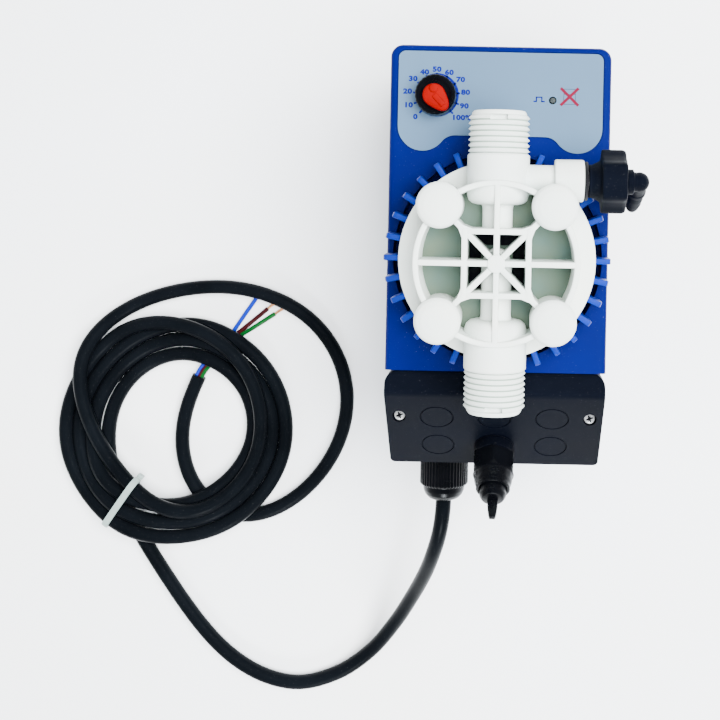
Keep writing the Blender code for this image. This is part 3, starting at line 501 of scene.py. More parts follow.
# The coil as (angle in degrees, radius, height), wound clockwise from the lead's entry.
COIL = [
    (250, 69, 4.6), (228, 57.5, 4.6), (205, 49.0, 4.6), (178, 43.5, 4.6), (135, 45.0, 4.6),
    (90, 48, 4.6), (0, 48, 4.6), (-30, 48, 7.0), (-62, 47.5, 13.0), (-93, 47.5, 9.5),
    (-125, 46.5, 9.5), (-153, 48.5, 13.0), (-180, 51.6, 7.0), (-205, 53.0, 4.6), (-270, 56.2, 4.6),
    (-360, 56.3, 4.6), (-388, 56.3, 7.0), (-420, 55.0, 13.0), (-450, 55.0, 10.0), (-475, 55.5, 10.0),
    (-499, 57.0, 13.0), (-525, 59.4, 7.0), (-545, 60.0, 4.6), (-585, 62.0, 4.6), (-630, 64.0, 4.6),
    (-720, 64.6, 4.6), (-745, 64.6, 7.5), (-772, 64.0, 13.0), (-800, 63.5, 11.0), (-836, 64.5, 13.0),
    (-862, 66.5, 7.5), (-885, 68.0, 4.6), (-915, 67.5, 5.0), (-950, 64.0, 11.0), (-990, 60.4, 12.0),
    (-1035, 56.5, 13.0), (-1080, 52.4, 12.2), (-1110, 51.4, 15.5), (-1140, 50, 20.0),
    (-1170, 48.0, 17.5), (-1200, 44.5, 17.0), (-1215, 43.0, 18.0), (-1235, 44.0, 18.5),
    (-1253, 48.0, 16.0), (-1268, 53.5, 14.0), (-1282, 59.0, 13.2), (-1297, 65.5, 13.2)]
LOOP = [(-239.7, -56.8, 12.5), (-225.2, -43.3, 10.5), (-204.7, -32.3, 8), (-175.7, -27.7, 5.5),
        (-145.7, -29.3, 5.5), (-120.7, -40.3, 5.2), (-100.7, -61.3, 4.6), (-91.7, -86.8, 4.6),
        (-93.2, -112.3, 4.6),
        (-104.7, -134.3, 4.6), (-120.7, -150.8, 4.6), (-137.7, -160.8, 4.6), (-154.7, -164.3, 4.6),
        (-168.2, -160.3, 4.6), (-178.7, -151.8, 4.6), (-186.2, -141.3, 4.6), (-190.7, -128.3, 4.6),
        (-191.5, -113.3, 4.6), (-188.2, -98.3, 4.6), (-181.4, -81.3, 4.6)]
WIRE_MIDDLE = ((-181.2, -80.8), (-141.7, -37.3))


def coil_points():
    """Points along the coil, its radius and height easing from each knot to the next."""
    knots = np.array(COIL, float)
    points = []
    for degrees in np.arange(knots[0, 0], knots[-1, 0] - 0.1, -10.0):
        k = int(np.searchsorted(-knots[:, 0], -degrees, side="right")) - 1
        k = min(k, len(knots) - 2)
        t = (knots[k, 0] - degrees) / (knots[k, 0] - knots[k + 1, 0])
        t = t * t * (3 - 2 * t)
        radius, height = knots[k, 1:] * (1 - t) + knots[k + 1, 1:] * t
        angle = math.radians(degrees)
        points.append((COIL_CENTRE[0] + radius * math.cos(angle),
                       COIL_CENTRE[1] + radius * math.sin(angle), height))
    return points


def ground_under(points):
    """The height of the cord's axis where it lies on the floor, or on the three cores."""
    lift, spread, ease = 2.9, 9.0, 8.0    # how high and how wide the cores raise it, and how soon
    start, end = (np.array(p) for p in WIRE_MIDDLE)
    reach = np.linalg.norm(end - start)
    axis = (end - start) / reach
    away = points[:, :2] - start
    along = np.clip(away @ axis, 0.0, reach)
    aside = np.linalg.norm(away - along[:, None] * axis, axis=1)
    inner = np.clip(1.0 - along / ease, 0.0, 1.0)
    return CORD_R + CLEAR + lift * np.exp(-(aside / spread) ** 2) * (1.0 - inner)


def settled(route, fixed):
    """Relax the cord: it stays smooth, its strands push each other apart and sink to rest.

    In plan the cord keeps its bend even, and in height it resists bending. Its own neighbours
    are left out of the contacts. A strand that touches another, or the floor, keeps its push.
    """
    rounds, pinned, nearby, slack = 380, 2000.0, 9.0, 0.08
    push_share, memory, own_weight, stay = 0.35, 0.06, 0.22, 0.02
    count, spacing = len(route), np.linalg.norm(route[1] - route[0])
    weight = np.where(fixed, pinned, 1.0)
    solve = []
    for stiffness, factors in ((900.0, (-1.0, 3.0, -3.0, 1.0)), (34.0, (1.0, -2.0, 1.0))):
        rows = np.zeros((count - len(factors) + 1, count))
        for k, factor in enumerate(factors):
            rows[np.arange(len(rows)), np.arange(len(rows)) + k] = factor
        solve.append(np.linalg.inv(np.diag(weight) + stiffness * rows.T @ rows))
    index = np.arange(count)
    far = np.triu(np.abs(index[:, None] - index[None, :]) > round(7 * CORD_R / spacing))
    points, held = route.copy(), np.zeros_like(route)
    free = (~fixed)[:, None].astype(float)
    for _ in range(rounds):
        near = (far & (np.abs(points[:, None, 0] - points[None, :, 0]) < nearby)
                & (np.abs(points[:, None, 1] - points[None, :, 1]) < nearby))
        a, b = np.nonzero(near)
        gap = points[a] - points[b]
        length = np.maximum(np.linalg.norm(gap, axis=1), 1e-6)
        short = 2 * CORD_R + slack - length
        push = gap / length[:, None] * np.clip(short, 0.0, None)[:, None]
        change = np.zeros_like(points)
        np.add.at(change, a, push)
        np.add.at(change, b, -push)
        low = ground_under(points) - points[:, 2]
        change[:, 2] += 2.0 * np.clip(low, 0.0, None)
        touching = low > -0.15
        touching[a[short > -0.2]] = True
        touching[b[short > -0.2]] = True
        held = np.where(touching[:, None], held + memory * change, held * 0.8) * 0.995
        force = held + push_share * change
        force[:, 2] -= own_weight
        force[:, :2] += stay * (route[:, :2] - points[:, :2])
        loads = weight[:, None] * np.where(fixed[:, None], route, points) + force * free
        points = np.column_stack([solve[0] @ loads[:, :2], solve[1] @ loads[:, 2]])
    return points


def build_lead():
    points = smooth_route(LEAD + coil_points() + LOOP, 3.6)
    fixed = np.zeros(len(points), bool)
    landed = int(np.argmax(points[:, 2] < 5.2))
    fixed[:landed + 12] = True
    fixed[-3:] = True
    points = settled(points, fixed)
    cord = strand("mains_lead_strand", points, CORD_R, "cord_jacket",
                  ("mains_lead", "cord_coil", "cord_loop", "cord_tail"), sides=7)
    length = float(np.linalg.norm(np.diff(points, axis=0), axis=1).sum()) * MM
    return cord, points, length


def build_wires(end):
    """The three cores: they leave the jacket side by side and fan out on the floor."""
    wires = []
    heading = Vector((0.447, 0.894, 0.0))
    across = Vector((-heading.y, heading.x, 0.0))
    end = Vector(end)
    for name, side, tip in (("blue_wire", 2.1, (-147.2, -31.8, 1.65)),
                            ("brown_wire", 0.0, (-141.2, -39.8, 1.65)),
                            ("green_wire", -2.1, (-136.7, -42.8, 1.65))):
        middle = Vector((-162.7, -58.3, 1.75)) + across * side * 0.9
        halfway = (middle + Vector(tip)) / 2
        halfway.z = tip[2]
        route = [end + across * side * 0.75 - heading * 2.0,
                 end + across * side * 0.8 + heading * 5.0 + Vector((0, 0, -1.3)),
                 Vector((-171.7, -68.3, 2.2)) + across * side * 0.8, middle, halfway, tip]
        points = smooth_route(route, 2.0)
        wires.append(strand(name + "_strand", points, 1.3, name, (name,), sides=4))
        if name != "blue_wire":
            wires.append(copper_tip(name + "_tip", points))
    return wires


def copper_tip(name, points):
    """Six copper strands round a seventh, where a core is stripped."""
    tail = Vector(points[-1] - points[-3]).normalized()
    strands = []
    for k in range(7):
        angle = 2 * math.pi * k / 6
        spread = 0.0 if k == 6 else 0.42
        offset = Vector((-tail.y * math.cos(angle), tail.x * math.cos(angle),
                         math.sin(angle))) * spread
        strands.append(rod(0.2, 0.0, 6.5 + 0.5 * (k % 3), Vector(points[-1]) - tail + offset,
                           tail + offset * 0.12, steps=8))
    return finish_piece(name, merge(strands), "copper")


def hull_2d(points):
    """The convex outline round a set of points."""
    points = sorted({(round(float(x), 4), round(float(y), 4)) for x, y in points})

    def half(sequence):
        out = []
        for p in sequence:
            while len(out) > 1 and ((out[-1][0] - out[-2][0]) * (p[1] - out[-2][1])
                                    - (out[-1][1] - out[-2][1]) * (p[0] - out[-2][0])) <= 0:
                out.pop()
            out.append(p)
        return out[:-1]

    return half(points) + half(points[::-1])


def build_tie(points):
    """A ladder tie pulled round the strands at the coil's lower left."""
    degrees = 235.0
    angle = math.radians(degrees)
    radial = np.array([math.cos(angle), math.sin(angle), 0.0])
    along = np.array([-math.sin(angle), math.cos(angle), 0.0])
    centre = np.array([*COIL_CENTRE, 0.0])
    up = np.array([0.0, 0.0, 1.0])
    local = points - centre
    side, out = local @ along, local @ radial
    crossings = []
    for k in range(len(points) - 1):
        if side[k] * side[k + 1] <= 0 and 20 < out[k] < 90:
            t = side[k] / (side[k] - side[k + 1])
            p = local[k] * (1 - t) + local[k + 1] * t
            crossings.append((p @ radial, p[2]))
    reach = CORD_R + CLEAR
    rim = [(r + reach * math.cos(a), max(0.25, z + reach * math.sin(a)))
           for r, z in crossings for a in np.linspace(0, 2 * math.pi, 28, endpoint=False)]
    inner = [np.array(p) for p in hull_2d(rim)]
    count, thick, half = len(inner), 1.1, 1.9
    outer = []
    for k, p in enumerate(inner):
        edge = inner[(k + 1) % count] - inner[k - 1]
        q = p + np.array([edge[1], -edge[0]]) / max(1e-6, np.linalg.norm(edge)) * thick
        outer.append(np.array([q[0], max(0.05, q[1])]))
    strap = bmesh.new()
    rings = [[strap.verts.new(tuple(centre + radial * p[0] + up * p[1] + along * shift))
              for p in loop]
             for loop, shift in ((inner, -half), (outer, -half), (outer, half), (inner, half))]
    for a, b in zip(rings, rings[1:] + rings[:1]):
        for k in range(count):
            n = (k + 1) % count
            strap.faces.new((a[k], a[n], b[n], b[k]))
    latch_x, pieces = min(p[0] for p in inner), [strap]
    latch = soft_box(latch_x - 2.6, latch_x - 0.6, -half, half, 9.0, 12.5, 0.4)
    middle = np.mean(inner, axis=0)[1]
    for k in range(count):
        a, b = outer[k], outer[(k + 1) % count]
        if a[1] <= middle:
            continue
        length = np.linalg.norm(b - a)
        normal = np.array([(b - a)[1], -(b - a)[0]]) / max(1e-6, length)
        direction = radial * normal[0] + up * normal[1]
        axes = (*np.cross(along, direction), 0), (*along, 0), (*direction, 0), (0, 0, 0, 1)
        steps = int(length // 1.2)
        for s in range(steps):
            p = a + (b - a) * (s + 0.5) / steps
            at = centre + radial * p[0] + up * p[1] + direction * 0.02
            tooth = soft_box(-0.3, 0.3, -1.25, 1.25, -0.16, 0.16, 0.06, 1)
            pieces.append(moved(tooth, Matrix.Translation(Vector(at)) @ Matrix(axes).transposed()))
    pieces.append(spun(latch, degrees, centre))
    return finish_piece("cable_tie_strap", merge(pieces), "tie_nylon", ("cable_tie",))


cord, cord_points, cord_length = build_lead()
wires = build_wires(tuple(cord_points[-1]))
tie = build_tie(cord_points)


# ---- housing, label and dial

def panel_outline(grow):
    """The label's outline: rounded top corners and two lobes below a raised middle edge."""
    side, top, lobe_x, lobe_y, lobe_r = 49.5, 102.3, 37.5, 66.0, 12.0
    middle, fillet, corner = 61.7, 8.0, 3.5
    fillet_y = middle - fillet
    reach = math.sqrt((lobe_r + fillet) ** 2 - (lobe_y - fillet_y) ** 2)
    lean = math.degrees(math.atan2(fillet_y - lobe_y, reach))
    right = arc((lobe_x, lobe_y), lobe_r + grow, -180 - lean, 0, 24)
    right += arc((side - corner, top - corner), corner + grow, 0, 90, 8)
    fillet_right = arc((lobe_x - reach, fillet_y), fillet - grow, 90, -lean, 10)
    right = fillet_right + right[1:]
    return right + [(-x, y) for x, y in reversed(right)]


def build_housing():
    """The case: its front edges are rounded, and it is hollow behind its walls."""
    low, half_x, half_y, edge = 10.6, WIDTH / 2, HEIGHT / 2, 2.2
    layers = [[(x, y, low) for x, y in rounded(-half_x, half_x, -half_y, half_y, CORNER, steps=10)]]
    for step in range(6):
        lean = math.radians(90 * step / 5)
        inset, drop = edge * (1 - math.cos(lean)), edge * (1 - math.sin(lean))
        layers.append([(x, y, FRONT - drop) for x, y in
                       rounded(-half_x + inset, half_x - inset, -half_y + inset,
                               half_y - inset, CORNER - inset, steps=10)])
    floor = FRONT - WELL_DEPTH
    in_x, in_y, top = half_x - WALL, half_y - WALL, FRONT - WALL
    inside = [(-in_y, 0), (in_y, 0), (in_y, top), (57.5, top), (57.5, floor - WALL),
              (SPLIT_Y + WALL, floor - WALL), (SPLIT_Y + WALL, LEDGE - WALL),
              (-in_y, LEDGE - WALL)]
    step_for_cover = box(-60, 60, -120, SPLIT_Y, LEDGE, FRONT + 10)
    fin_recess = rod(WELL_R, floor, FRONT + 5, (0, HUB_Y, 0), steps=128)
    head_hole = rod(34.5, floor - 5, FRONT, (0, HUB_Y, 0), steps=64)
    label_recess = prism(panel_outline(0.4), FRONT - 1.2, FRONT + 5)
    dial_hole = rod(DIAL_HOLE, FRONT - 8, FRONT + 5, (*DIAL, 0), steps=32)
    lamp_hole = rod(LAMP_HOLE, FRONT - 8, FRONT + 5, (*LAMP, 0), steps=24)
    wire_slot = box(-12, 12, SPLIT_Y - 5, SPLIT_Y + 8, 88, 100)
    shell = cut(stacked(layers), step_for_cover, side_prism(inside, -in_x, in_x), fin_recess,
                head_hole, label_recess, dial_hole, lamp_hole, wire_slot)
    finish_piece("housing_shell", shell, "blue_plastic", ("housing",))
    posts = [tube(1.8, 3.4, LEDGE - 1, FRONT - 24, (x, slope_point(0, ROW_1).y, 0), steps=24)
             for x in (-SCREW_X, SCREW_X)]
    finish_piece("housing_posts", merge(posts), "blue_plastic")


def build_label():
    layers = [[(x, y, FRONT + height) for x, y in panel_outline(-inset)]
              for inset, height in ((0.0, -0.9), (0.0, -0.26), (0.06, -0.2))]
    film = cut(stacked(layers), rod(DIAL_HOLE, 130, 150, (*DIAL, 0), steps=32),
               rod(LAMP_HOLE, 130, 150, (*LAMP, 0), steps=24))
    finish_piece("label_face", film, "label_film", ("label_panel",))


def plate(outline):
    return prism(outline, PRINT_Z - 0.02, PRINT_Z + 0.03)


def bar(x0, y0, x1, y1, width):
    """A printed stroke from one point to another."""
    run = Vector((x1 - x0, y1 - y0))
    aside = Vector((-run.y, run.x)).normalized() * width / 2
    return plate([(x0 - aside.x, y0 - aside.y), (x1 - aside.x, y1 - aside.y),
                  (x1 + aside.x, y1 + aside.y), (x0 + aside.x, y0 + aside.y)])


def number_mesh(text, x, y, size):
    """A number set as a flat printed mesh, centred on a point."""
    data = bpy.data.curves.new("number", "FONT")
    data.body, data.size = text, size * MM
    data.align_x, data.align_y = "CENTER", "CENTER"
    data.offset, data.extrude, data.resolution_u = 0.00017, 0.00002, 3
    data.space_character = 1.08
    obj = bpy.data.objects.new("number", data)
    obj.location = (x * MM, y * MM, (PRINT_Z + 0.01) * MM)
    obj.scale = (1.22, 1.0, 1.0)
    link(obj)
    bpy.context.view_layer.update()
    evaluated = obj.evaluated_get(bpy.context.evaluated_depsgraph_get())
    bm = bmesh.new()
    bm.from_mesh(bpy.data.meshes.new_from_object(evaluated))
    bmesh.ops.remove_doubles(bm, verts=bm.verts[:], dist=1e-7)
    moved(bm, Matrix.Scale(1 / MM, 4) @ obj.matrix_world)
    bpy.data.objects.remove(obj, do_unlink=True)
    return bm


def strokes(lines, x, y, width):
    return merge([bar(x + a, y + b, x + c, y + d, width) for a, b, c, d in lines])


def build_print():
    """The dial's scale, the pulse sign beside the lamp and the crossed-out tank."""
    x, y = DIAL
    marks = [tube(8.6, 10.5, PRINT_Z - 0.02, PRINT_Z + 0.03, (x + 0.3, y + 0.5, 0), steps=72)]
    y -= 0.3
    for step in range(11):
        angle = math.radians(225 - 27 * step)
        c, s = math.cos(angle), math.sin(angle)
        marks.append(bar(x + 9.8 * c, y + 9.8 * s, x + 11.5 * c, y + 11.5 * s, 0.9))
        reach = 13.1 if step in (4, 5, 6) else 14.2
        label, shift = ("100%", 2.2) if step == 10 else (str(step * 10), 0.0)
        marks.append(number_mesh(label, x + reach * c + shift, y + reach * s, 3.3))
    pulse = ((0, 0, 1.7, 0), (1.5, -0.3, 1.5, 2.35), (1.2, 2.05, 4.4, 2.05),
             (4.1, 2.35, 4.1, -0.3), (3.9, 0, 5.6, 0))
    marks.append(strokes(pulse, LAMP[0] - 9.4, LAMP[1] - 0.6, 0.6))
    finish_piece("printed_scale", merge(marks), "blue_print")
    cx, cy = LAMP[0] + 8.1, LAMP[1] + 1.9
    tank = ((-2.9, 3.7, 2.7, 3.7), (2.7, 3.7, 2.9, -3.6), (2.9, -3.6, -2.9, -3.6),
            (-2.9, -3.6, -2.7, 3.7), (-2.8, 1.2, 2.8, 1.2))
    finish_piece("printed_tank", strokes(tank, cx, cy, 0.26), "grey_print")
    cross = []
    for rise, lift in ((4.2, 0.02), (-4.2, 0.04)):
        cross.append(bar(cx - 4.3, cy - rise, cx + 4.3, cy + rise, 1.35))
        bmesh.ops.translate(cross[-1], verts=cross[-1].verts[:], vec=(0, 0, lift))
    finish_piece("printed_cross", merge(cross), "red_print")


def build_dial():
    knob = [(0, 9.6), (6.9, 9.6), (7.4, 10.0), (8.9, 10.0), (9.7, 9.2), (10.0, 0.4),
            (5.5, 0.4), (5.5, 4.0), (3.4, 4.0), (3.4, 8.6), (0, 8.6)]

    def fluted(angle, radius, _along):
        return radius - (0.16 * max(0.0, math.cos(24 * angle)) if radius > 8.6 else 0.0)

    finish_piece("dial_knob_fluted", turned(knob, (*DIAL, FRONT), steps=144, soft=0.35,
                                            wave=fluted),
                 "gloss_black", ("dial_knob",), body="speed_dial")
    cap = stacked([[(x, y, FRONT + height) for x, y in teardrop(grow)] for grow, height in
                   ((0.0, 9.7), (0.0, 12.2), (-0.25, 12.7), (-0.9, 13.05), (-2.6, 13.2))])
    grip = spun(soft_box(-0.6, 6.4, -1.5, 1.5, 12.3, 13.7, 0.6, 3), -47,
                (DIAL[0], DIAL[1] - 0.8, FRONT))
    button = turned([(0, 12.8), (2.0, 12.8), (2.0, 14.0), (0, 14.25)],
                    (DIAL[0] - 0.4, DIAL[1] + 2.6, FRONT), steps=24, soft=0.3)
    finish_piece("dial_pointer_cap", merge([cap, grip, button]), "red_plastic",
                 ("dial_pointer",), body="speed_dial")


def teardrop(grow):
    """The red cap's outline: a disc drawn out to a blunt point towards the full setting."""
    radius, tip = 5.4 + grow, 9.2 + grow
    c, s = math.cos(math.radians(-48)), math.sin(math.radians(-48))
    points = []
    for step in range(64):
        angle = 2 * math.pi * step / 64
        near = math.cos(angle)
        stretch = max(0.0, near) ** 4 * (tip - radius)
        x, y = (radius + stretch) * near, (radius + stretch * 0.6) * math.sin(angle)
        points.append((DIAL[0] - 0.4 + x * c - y * s, DIAL[1] - 0.5 + x * s + y * c))
    return points


# ---- fins

def build_fins():
    """A ring with upright fins, and low webs between them."""
    profile = [(39.5, -12.7), (50.2, -12.7), (50.2, 0.3), (52.6, 0.3), (53.5, 1.3),
               (53.5, 13.9), (52.9, 15.0), (51.8, 15.4), (39.5, 15.4)]
    pieces = [tube(31.5, 41.0, -12.7, 15.3, hub(0), steps=96, soft=0.5)]
    for index in range(FINS):
        degrees = 360 * index / FINS
        pieces.append(spun(eased(side_prism(profile, -1.35, 1.35), 0.45), degrees, hub(0)))
        web = soft_box(-5.0, 5.0, 44.6, 46.0, -12.6, -3.0, 0.3, 1)
        pieces.append(spun(web, degrees + 180 / FINS, hub(0)))
    finish_piece("cooling_fins", merge(pieces), "fin_blue", ("cooling_ring",))


# ---- pump head

def threaded_port(side):
    """A collar and a threaded end with a real bore, and a darker ring at its thread's roots: painted
    shade in the hollows of the thread.
    """
    thread, root, pitch = 13.95, 12.55, 2.5
    profile = [(2.6, 26.0), (9.3, 26.0), (11.8, 26.6), (13.4, 28.0), (14.2, 30.6), (14.2, 48.2),
               (13.6, 49.0)]
    along = 49.0
    while along + pitch < 67.6:
        crest = along + pitch / 2
        profile += [(root, along + 0.25), (thread - 0.12, crest - 0.22), (thread, crest),
                    (thread - 0.12, crest + 0.22)]
        along += pitch
    profile += [(root, along + 0.2), (12.5, 67.4), (11.7, 68.5), (8.8, 68.5), (8.6, 68.2),
                (8.6, 38.0), (2.6, 36.0)]
    thread_root_shade = [(12.3, 49.3), (root + 0.42, 49.3), (root + 0.42, 66.4), (12.3, 66.4)]
    notch_y = sorted((HUB_Y + side * 64.1, HUB_Y + side * 66.5))
    top = FRONT + PORT_H
    return [cut(turned(outline, hub(PORT_H), (0, side, 0), steps=96),
                box(-3.9, 3.9, *notch_y, top + 10.4, top + 20))
            for outline in (profile, thread_root_shade)]


def build_ribs():
    """A square frame of ribs with arms, diagonals and gussets, and the two middle bosses.

    The tops differ by a few hundredths of a millimetre, so that no two lie in one plane.
    """
    rib, square, foot = 1.3, 14.25, 22.5
    bars = []
    gusset = [(18.8, -3.1), (20.4, -2.3), (22.9, -1.2), (22.9, 1.2), (20.4, 2.3), (18.8, 3.1)]
    for angle, top in ((0, 44.9), (90, 44.84), (180, 44.9), (270, 44.84)):
        reach = square + rib - (44.9 - top)
        arm = soft_box(square - 0.3, 35.4, -rib, rib, foot, 44.96, 0.45)
        side_bar = soft_box(square - rib, square + rib, -reach, reach, foot, top, 0.45)
        inner = soft_box(1.0, square + 0.4, -rib, rib, 27.0, 44.78, 0.45)
        diagonal = soft_box(2.0, 30.0, -rib, rib, foot, 44.72, 0.45)
        bars += [spun(bm, angle, hub(0)) for bm in (arm, side_bar, inner)]
        bars += [spun(bm, angle + 45, hub(0)) for bm in (diagonal, prism(gusset, 22.6, 44.6))]
    bars.append(rod(4.1, 26.8, 45.35, hub(0), soft=0.5))
    bars.append(turned([(0, 22.4), (6.2, 22.4), (6.2, 30.6), (4.6, 31.6), (0, 31.6)], hub(0),
                       steps=48, soft=1.2))
    return merge(bars)


def build_head():
    def finish_white(name, bm):
        finish_piece(name, bm, "white_plastic", ("pump_head",))

    body = [(46.0, 20.0), (46.0, 16.3), (30.2, 16.3), (30.2, 18.4), (0, 18.4), (0, 23.5),
            (34.6, 23.5), (34.6, 45.0), (37.2, 45.0), (37.2, 20.0)]
    finish_white("head_body", turned(body, hub(0), steps=160, soft=0.7))
    # Painted shade: a thin dark disc on the floor between the ribs stands for the shade in the
    # head's recesses.
    floor = [tube(18.2, 34.7, 23.45, 23.8, hub(0), steps=160),
             rod(18.4, 23.42, 23.78, hub(0), steps=96)]
    finish_piece("head_floor_painted_shade", merge(floor), "painted_recess_shade", ("pump_head",))
    for side, name in ((1, "discharge"), (-1, "suction")):
        port, thread_root_shade = threaded_port(side)
        finish_white(name + "_port", port)
        # The darker ring at each thread's roots is painted shade.
        finish_piece(name + "_grooves", thread_root_shade, "painted_groove_shade", ("pump_head",))
    ducts = [turned([(2.6, end), (6.9, end), (6.9, 24.5), (7.6, 26.6), (2.6, 26.6)],
                    hub(PORT_H), (0, side, 0), steps=64, soft=1.6)
             for side, end in ((1, 13.6), (-1, 0.6))]
    finish_white("head_ducts", merge(ducts))
    finish_white("head_ribs", build_ribs())
    at, along = (0, PRIMING_Y, FRONT + PORT_H), (1, 0, 0)
    branch = [rod(6.9, 0, 25.7, at, along, steps=64),
              tube(5.0, 9.6, 25.5, 38.9, at, along, steps=72, soft=0.9),
              rod(6.0, 24.0, 27.0, at, along)]
    finish_white("priming_branch", merge(branch))
    corners = [(a * BOLT, HUB_Y + b * BOLT, FRONT) for a, b in ((-1, 1), (1, 1), (-1, -1), (1, -1))]
    finish_white("head_bosses", merge([tube(5.2, 10.2, 16.31, 44.6, corner, soft=0.4)
                                       for corner in corners]))
    cap = [(0, 49.0), (3.5, 48.9), (6.8, 48.45), (9.2, 47.55), (10.35, 46.3), (10.45, 45.3),
           (4.9, 45.3), (4.9, 40.0), (0, 40.0)]
    for number, corner in enumerate(corners, start=1):
        finish_piece(f"bolt_cap_{number}", turned(cap, corner, steps=72, soft=0.5),
                     "white_plastic", (f"screw_cap_{number}",))
    outline = [(-12.6, -12.6), (-7.3, -12.6), (-7.3, 7.3), (7.3, 7.3), (7.3, -12.6),
               (12.6, -12.6), (12.6, 12.6), (-12.6, 12.6)]
    finish_piece("window_plate", spun(prism(outline, 23.8, 25.1), 0, hub(0)), "black_plastic",
                 ("head_insert",), bevel=0.2)


# ---- priming valve

def build_priming():
    at, along = (0, PRIMING_Y, FRONT + PORT_H), (1, 0, 0)
    finish_piece("priming_seal", tube(5.4, 8.9, 39.2, 40.7, at, along, soft=0.5), "rubber",
                 ("priming_collar",))

    def lobed(angle, radius, height):
        if radius < 11.0 or height < 46.0:
            return radius
        return radius - 1.15 * math.cos(6 * angle) + 0.2 * math.cos(12 * angle)

    knob = [(5.0, 41.0), (7.6, 41.0), (7.5, 42.4), (8.6, 44.6), (9.6, 46.2), (12.9, 46.7),
            (13.2, 47.4), (13.2, 56.4), (12.6, 57.7), (11.4, 58.0), (5.0, 58.0)]
    finish_piece("priming_hand_knob", turned(knob, at, along, steps=144, soft=0.55, wave=lobed),
                 "cover_black", ("priming_knob",), body="priming_knob")
    neck = turned([(0, 58.5), (5.8, 58.5), (5.8, 61.3), (4.5, 61.9), (4.5, 64.2), (0, 64.2)],
                  at, along, steps=64, soft=0.35)
    turn_at, lean = (64.2, *at[1:]), math.radians(22)
    down = Vector((0, -math.sin(lean), -math.cos(lean)))
    ball = bmesh.new()
    bmesh.ops.create_uvsphere(ball, u_segments=40, v_segments=24, radius=4.6)
    bmesh.ops.translate(ball, verts=ball.verts[:], vec=turn_at)
    barb = [(1.5, 0.5), (4.3, 0.5), (4.0, 5.0), (4.0, 9.0), (4.3, 9.4), (4.3, 12.0), (3.3, 13.2),
            (3.3, 14.2), (3.95, 18.8), (3.2, 19.2), (3.8, 24.6), (3.1, 25.0), (3.3, 29.0),
            (2.6, 32.0), (1.5, 32.0)]
    nipple = turned(barb, turn_at, down, steps=56, soft=0.25)
    finish_piece("priming_outlet", merge([neck, ball, nipple]), "cover_black",
                 ("priming_elbow",), body="priming_elbow")


# ---- terminal cover and glands

def cover_outline(inset):
    """The cover's side view as (y, z), with a rounded nose over the outer ridge."""
    bottom_y = -HEIGHT / 2 + inset
    back = LEDGE + 0.3 if inset == 0 else LEDGE - 10
    top_y = SPLIT_Y - 0.3 - inset
    ridge = Vector((RIDGE[0] - 0.35 * inset, RIDGE[1] - 1.2 * inset))
    upper = Vector((top_y - 1.5, FRONT + 0.2 - inset))
    if inset == 0:
        foot = Vector((bottom_y, slope_point(0, SLOPE_LENGTH).z))
        nose = bend(ridge + (upper - ridge).normalized() * 2.2, ridge,
                    ridge + (foot - ridge).normalized() * 2.2, 6)
    else:
        foot = Vector((bottom_y, ridge.y - (ridge.x - bottom_y) * math.tan(SLOPE)))
        nose = [tuple(ridge)]
    return [(top_y, back), (top_y, FRONT - 1.0 - inset), tuple(upper), *nose, tuple(foot),
            (bottom_y, back)]


def build_cover():
    outline = rounded(-COVER_X, COVER_X, -HEIGHT / 2, SPLIT_Y - 0.3, 2.5, 6.0, steps=10)
    inside_x = COVER_X - LID_WALL
    screw_at = slope_point(0, ROW_1)
    tools = [("INTERSECT", prism(outline, 0, 200)),
             ("DIFFERENCE", side_prism(cover_outline(LID_WALL), -inside_x, inside_x)),
             ("DIFFERENCE", rod(MAINS_HOLE, 95, 115, (MAINS[0], 0, MAINS[1]), (0, -1, 0))),
             ("DIFFERENCE", rod(SIGNAL_HOLE, -8, 8, slope_point(0, ROW_2), SLOPE_NORMAL))]
    for x in (-SCREW_X, SCREW_X):
        at = (x, screw_at.y, 0)
        recess = [(0, 180), (3.3, 180), (3.3, screw_at.z - 8), (1.8, screw_at.z - 8), (1.8, 90),
                  (0, 90)]
        tools += [("UNION", rod(4.6, FRONT - 23.5, screw_at.z - 5, at, steps=32)),
                  ("DIFFERENCE", turned(recess, at, steps=32))]
    knock_outs = [(x, ROW_1) for x in (-KNOCK_OUT_X, 0.0, KNOCK_OUT_X)]
    knock_outs += [(x, ROW_2) for x in (-KNOCK_OUT_X, KNOCK_OUT_X)]
    tools += [("DIFFERENCE", tube(7.65, 8.3, -0.9, 1.0, slope_point(x, along), SLOPE_NORMAL))
              for x, along in knock_outs]
    shell = combine(side_prism(cover_outline(0.0), -COVER_X, COVER_X), *tools)
    finish_piece("terminal_lid", shell, "cover_black", ("terminal_cover",), bevel=0.5)
    for side, x in (("left", -SCREW_X), ("right", SCREW_X)):
        cover_screw(side, (x, screw_at.y, 0), screw_at.z - 5.2)


def cover_screw(side, at, low):
    """A cross-headed screw; the shade in its slots is painted on dark floors, in a piece of their
    own.
    """
    screw = turned([(0, low + 2.35), (1.3, low + 2.25), (2.1, low + 1.9), (2.7, low + 1.1),
                    (2.7, low), (1.4, low), (1.4, 92.0), (0, 90.5)], at, steps=40, soft=0.2)
    reach = 1.8
    slots, painted_slot_floors = [], []
    for degrees, half, dark in ((20, 0.5, True), (110, 0.5, True), (65, 0.2, True),
                                (155, 0.2, False)):
        lift = 0.01 * degrees / 20
        slots.append(spun(box(-reach, reach, -half, half, low + 0.4 + lift, low + 5), degrees, at))
        # Painted shade: dark boxes at the bottom of the slots stand for the shade inside them.
        if dark:
            painted_slot_floors.append(spun(box(0.05 - reach, reach - 0.05, 0.03 - half, half - 0.03,
                                   low + 0.2 + lift, low + 1.7 + lift), degrees, at))
    replaced = ("cover_screw_" + side,)
    finish_piece("lid_screw_" + side, cut(screw, *slots), "steel", replaced)
    finish_piece("lid_screw_slot_painted_shade_" + side, merge(painted_slot_floors), "gloss_black", replaced)


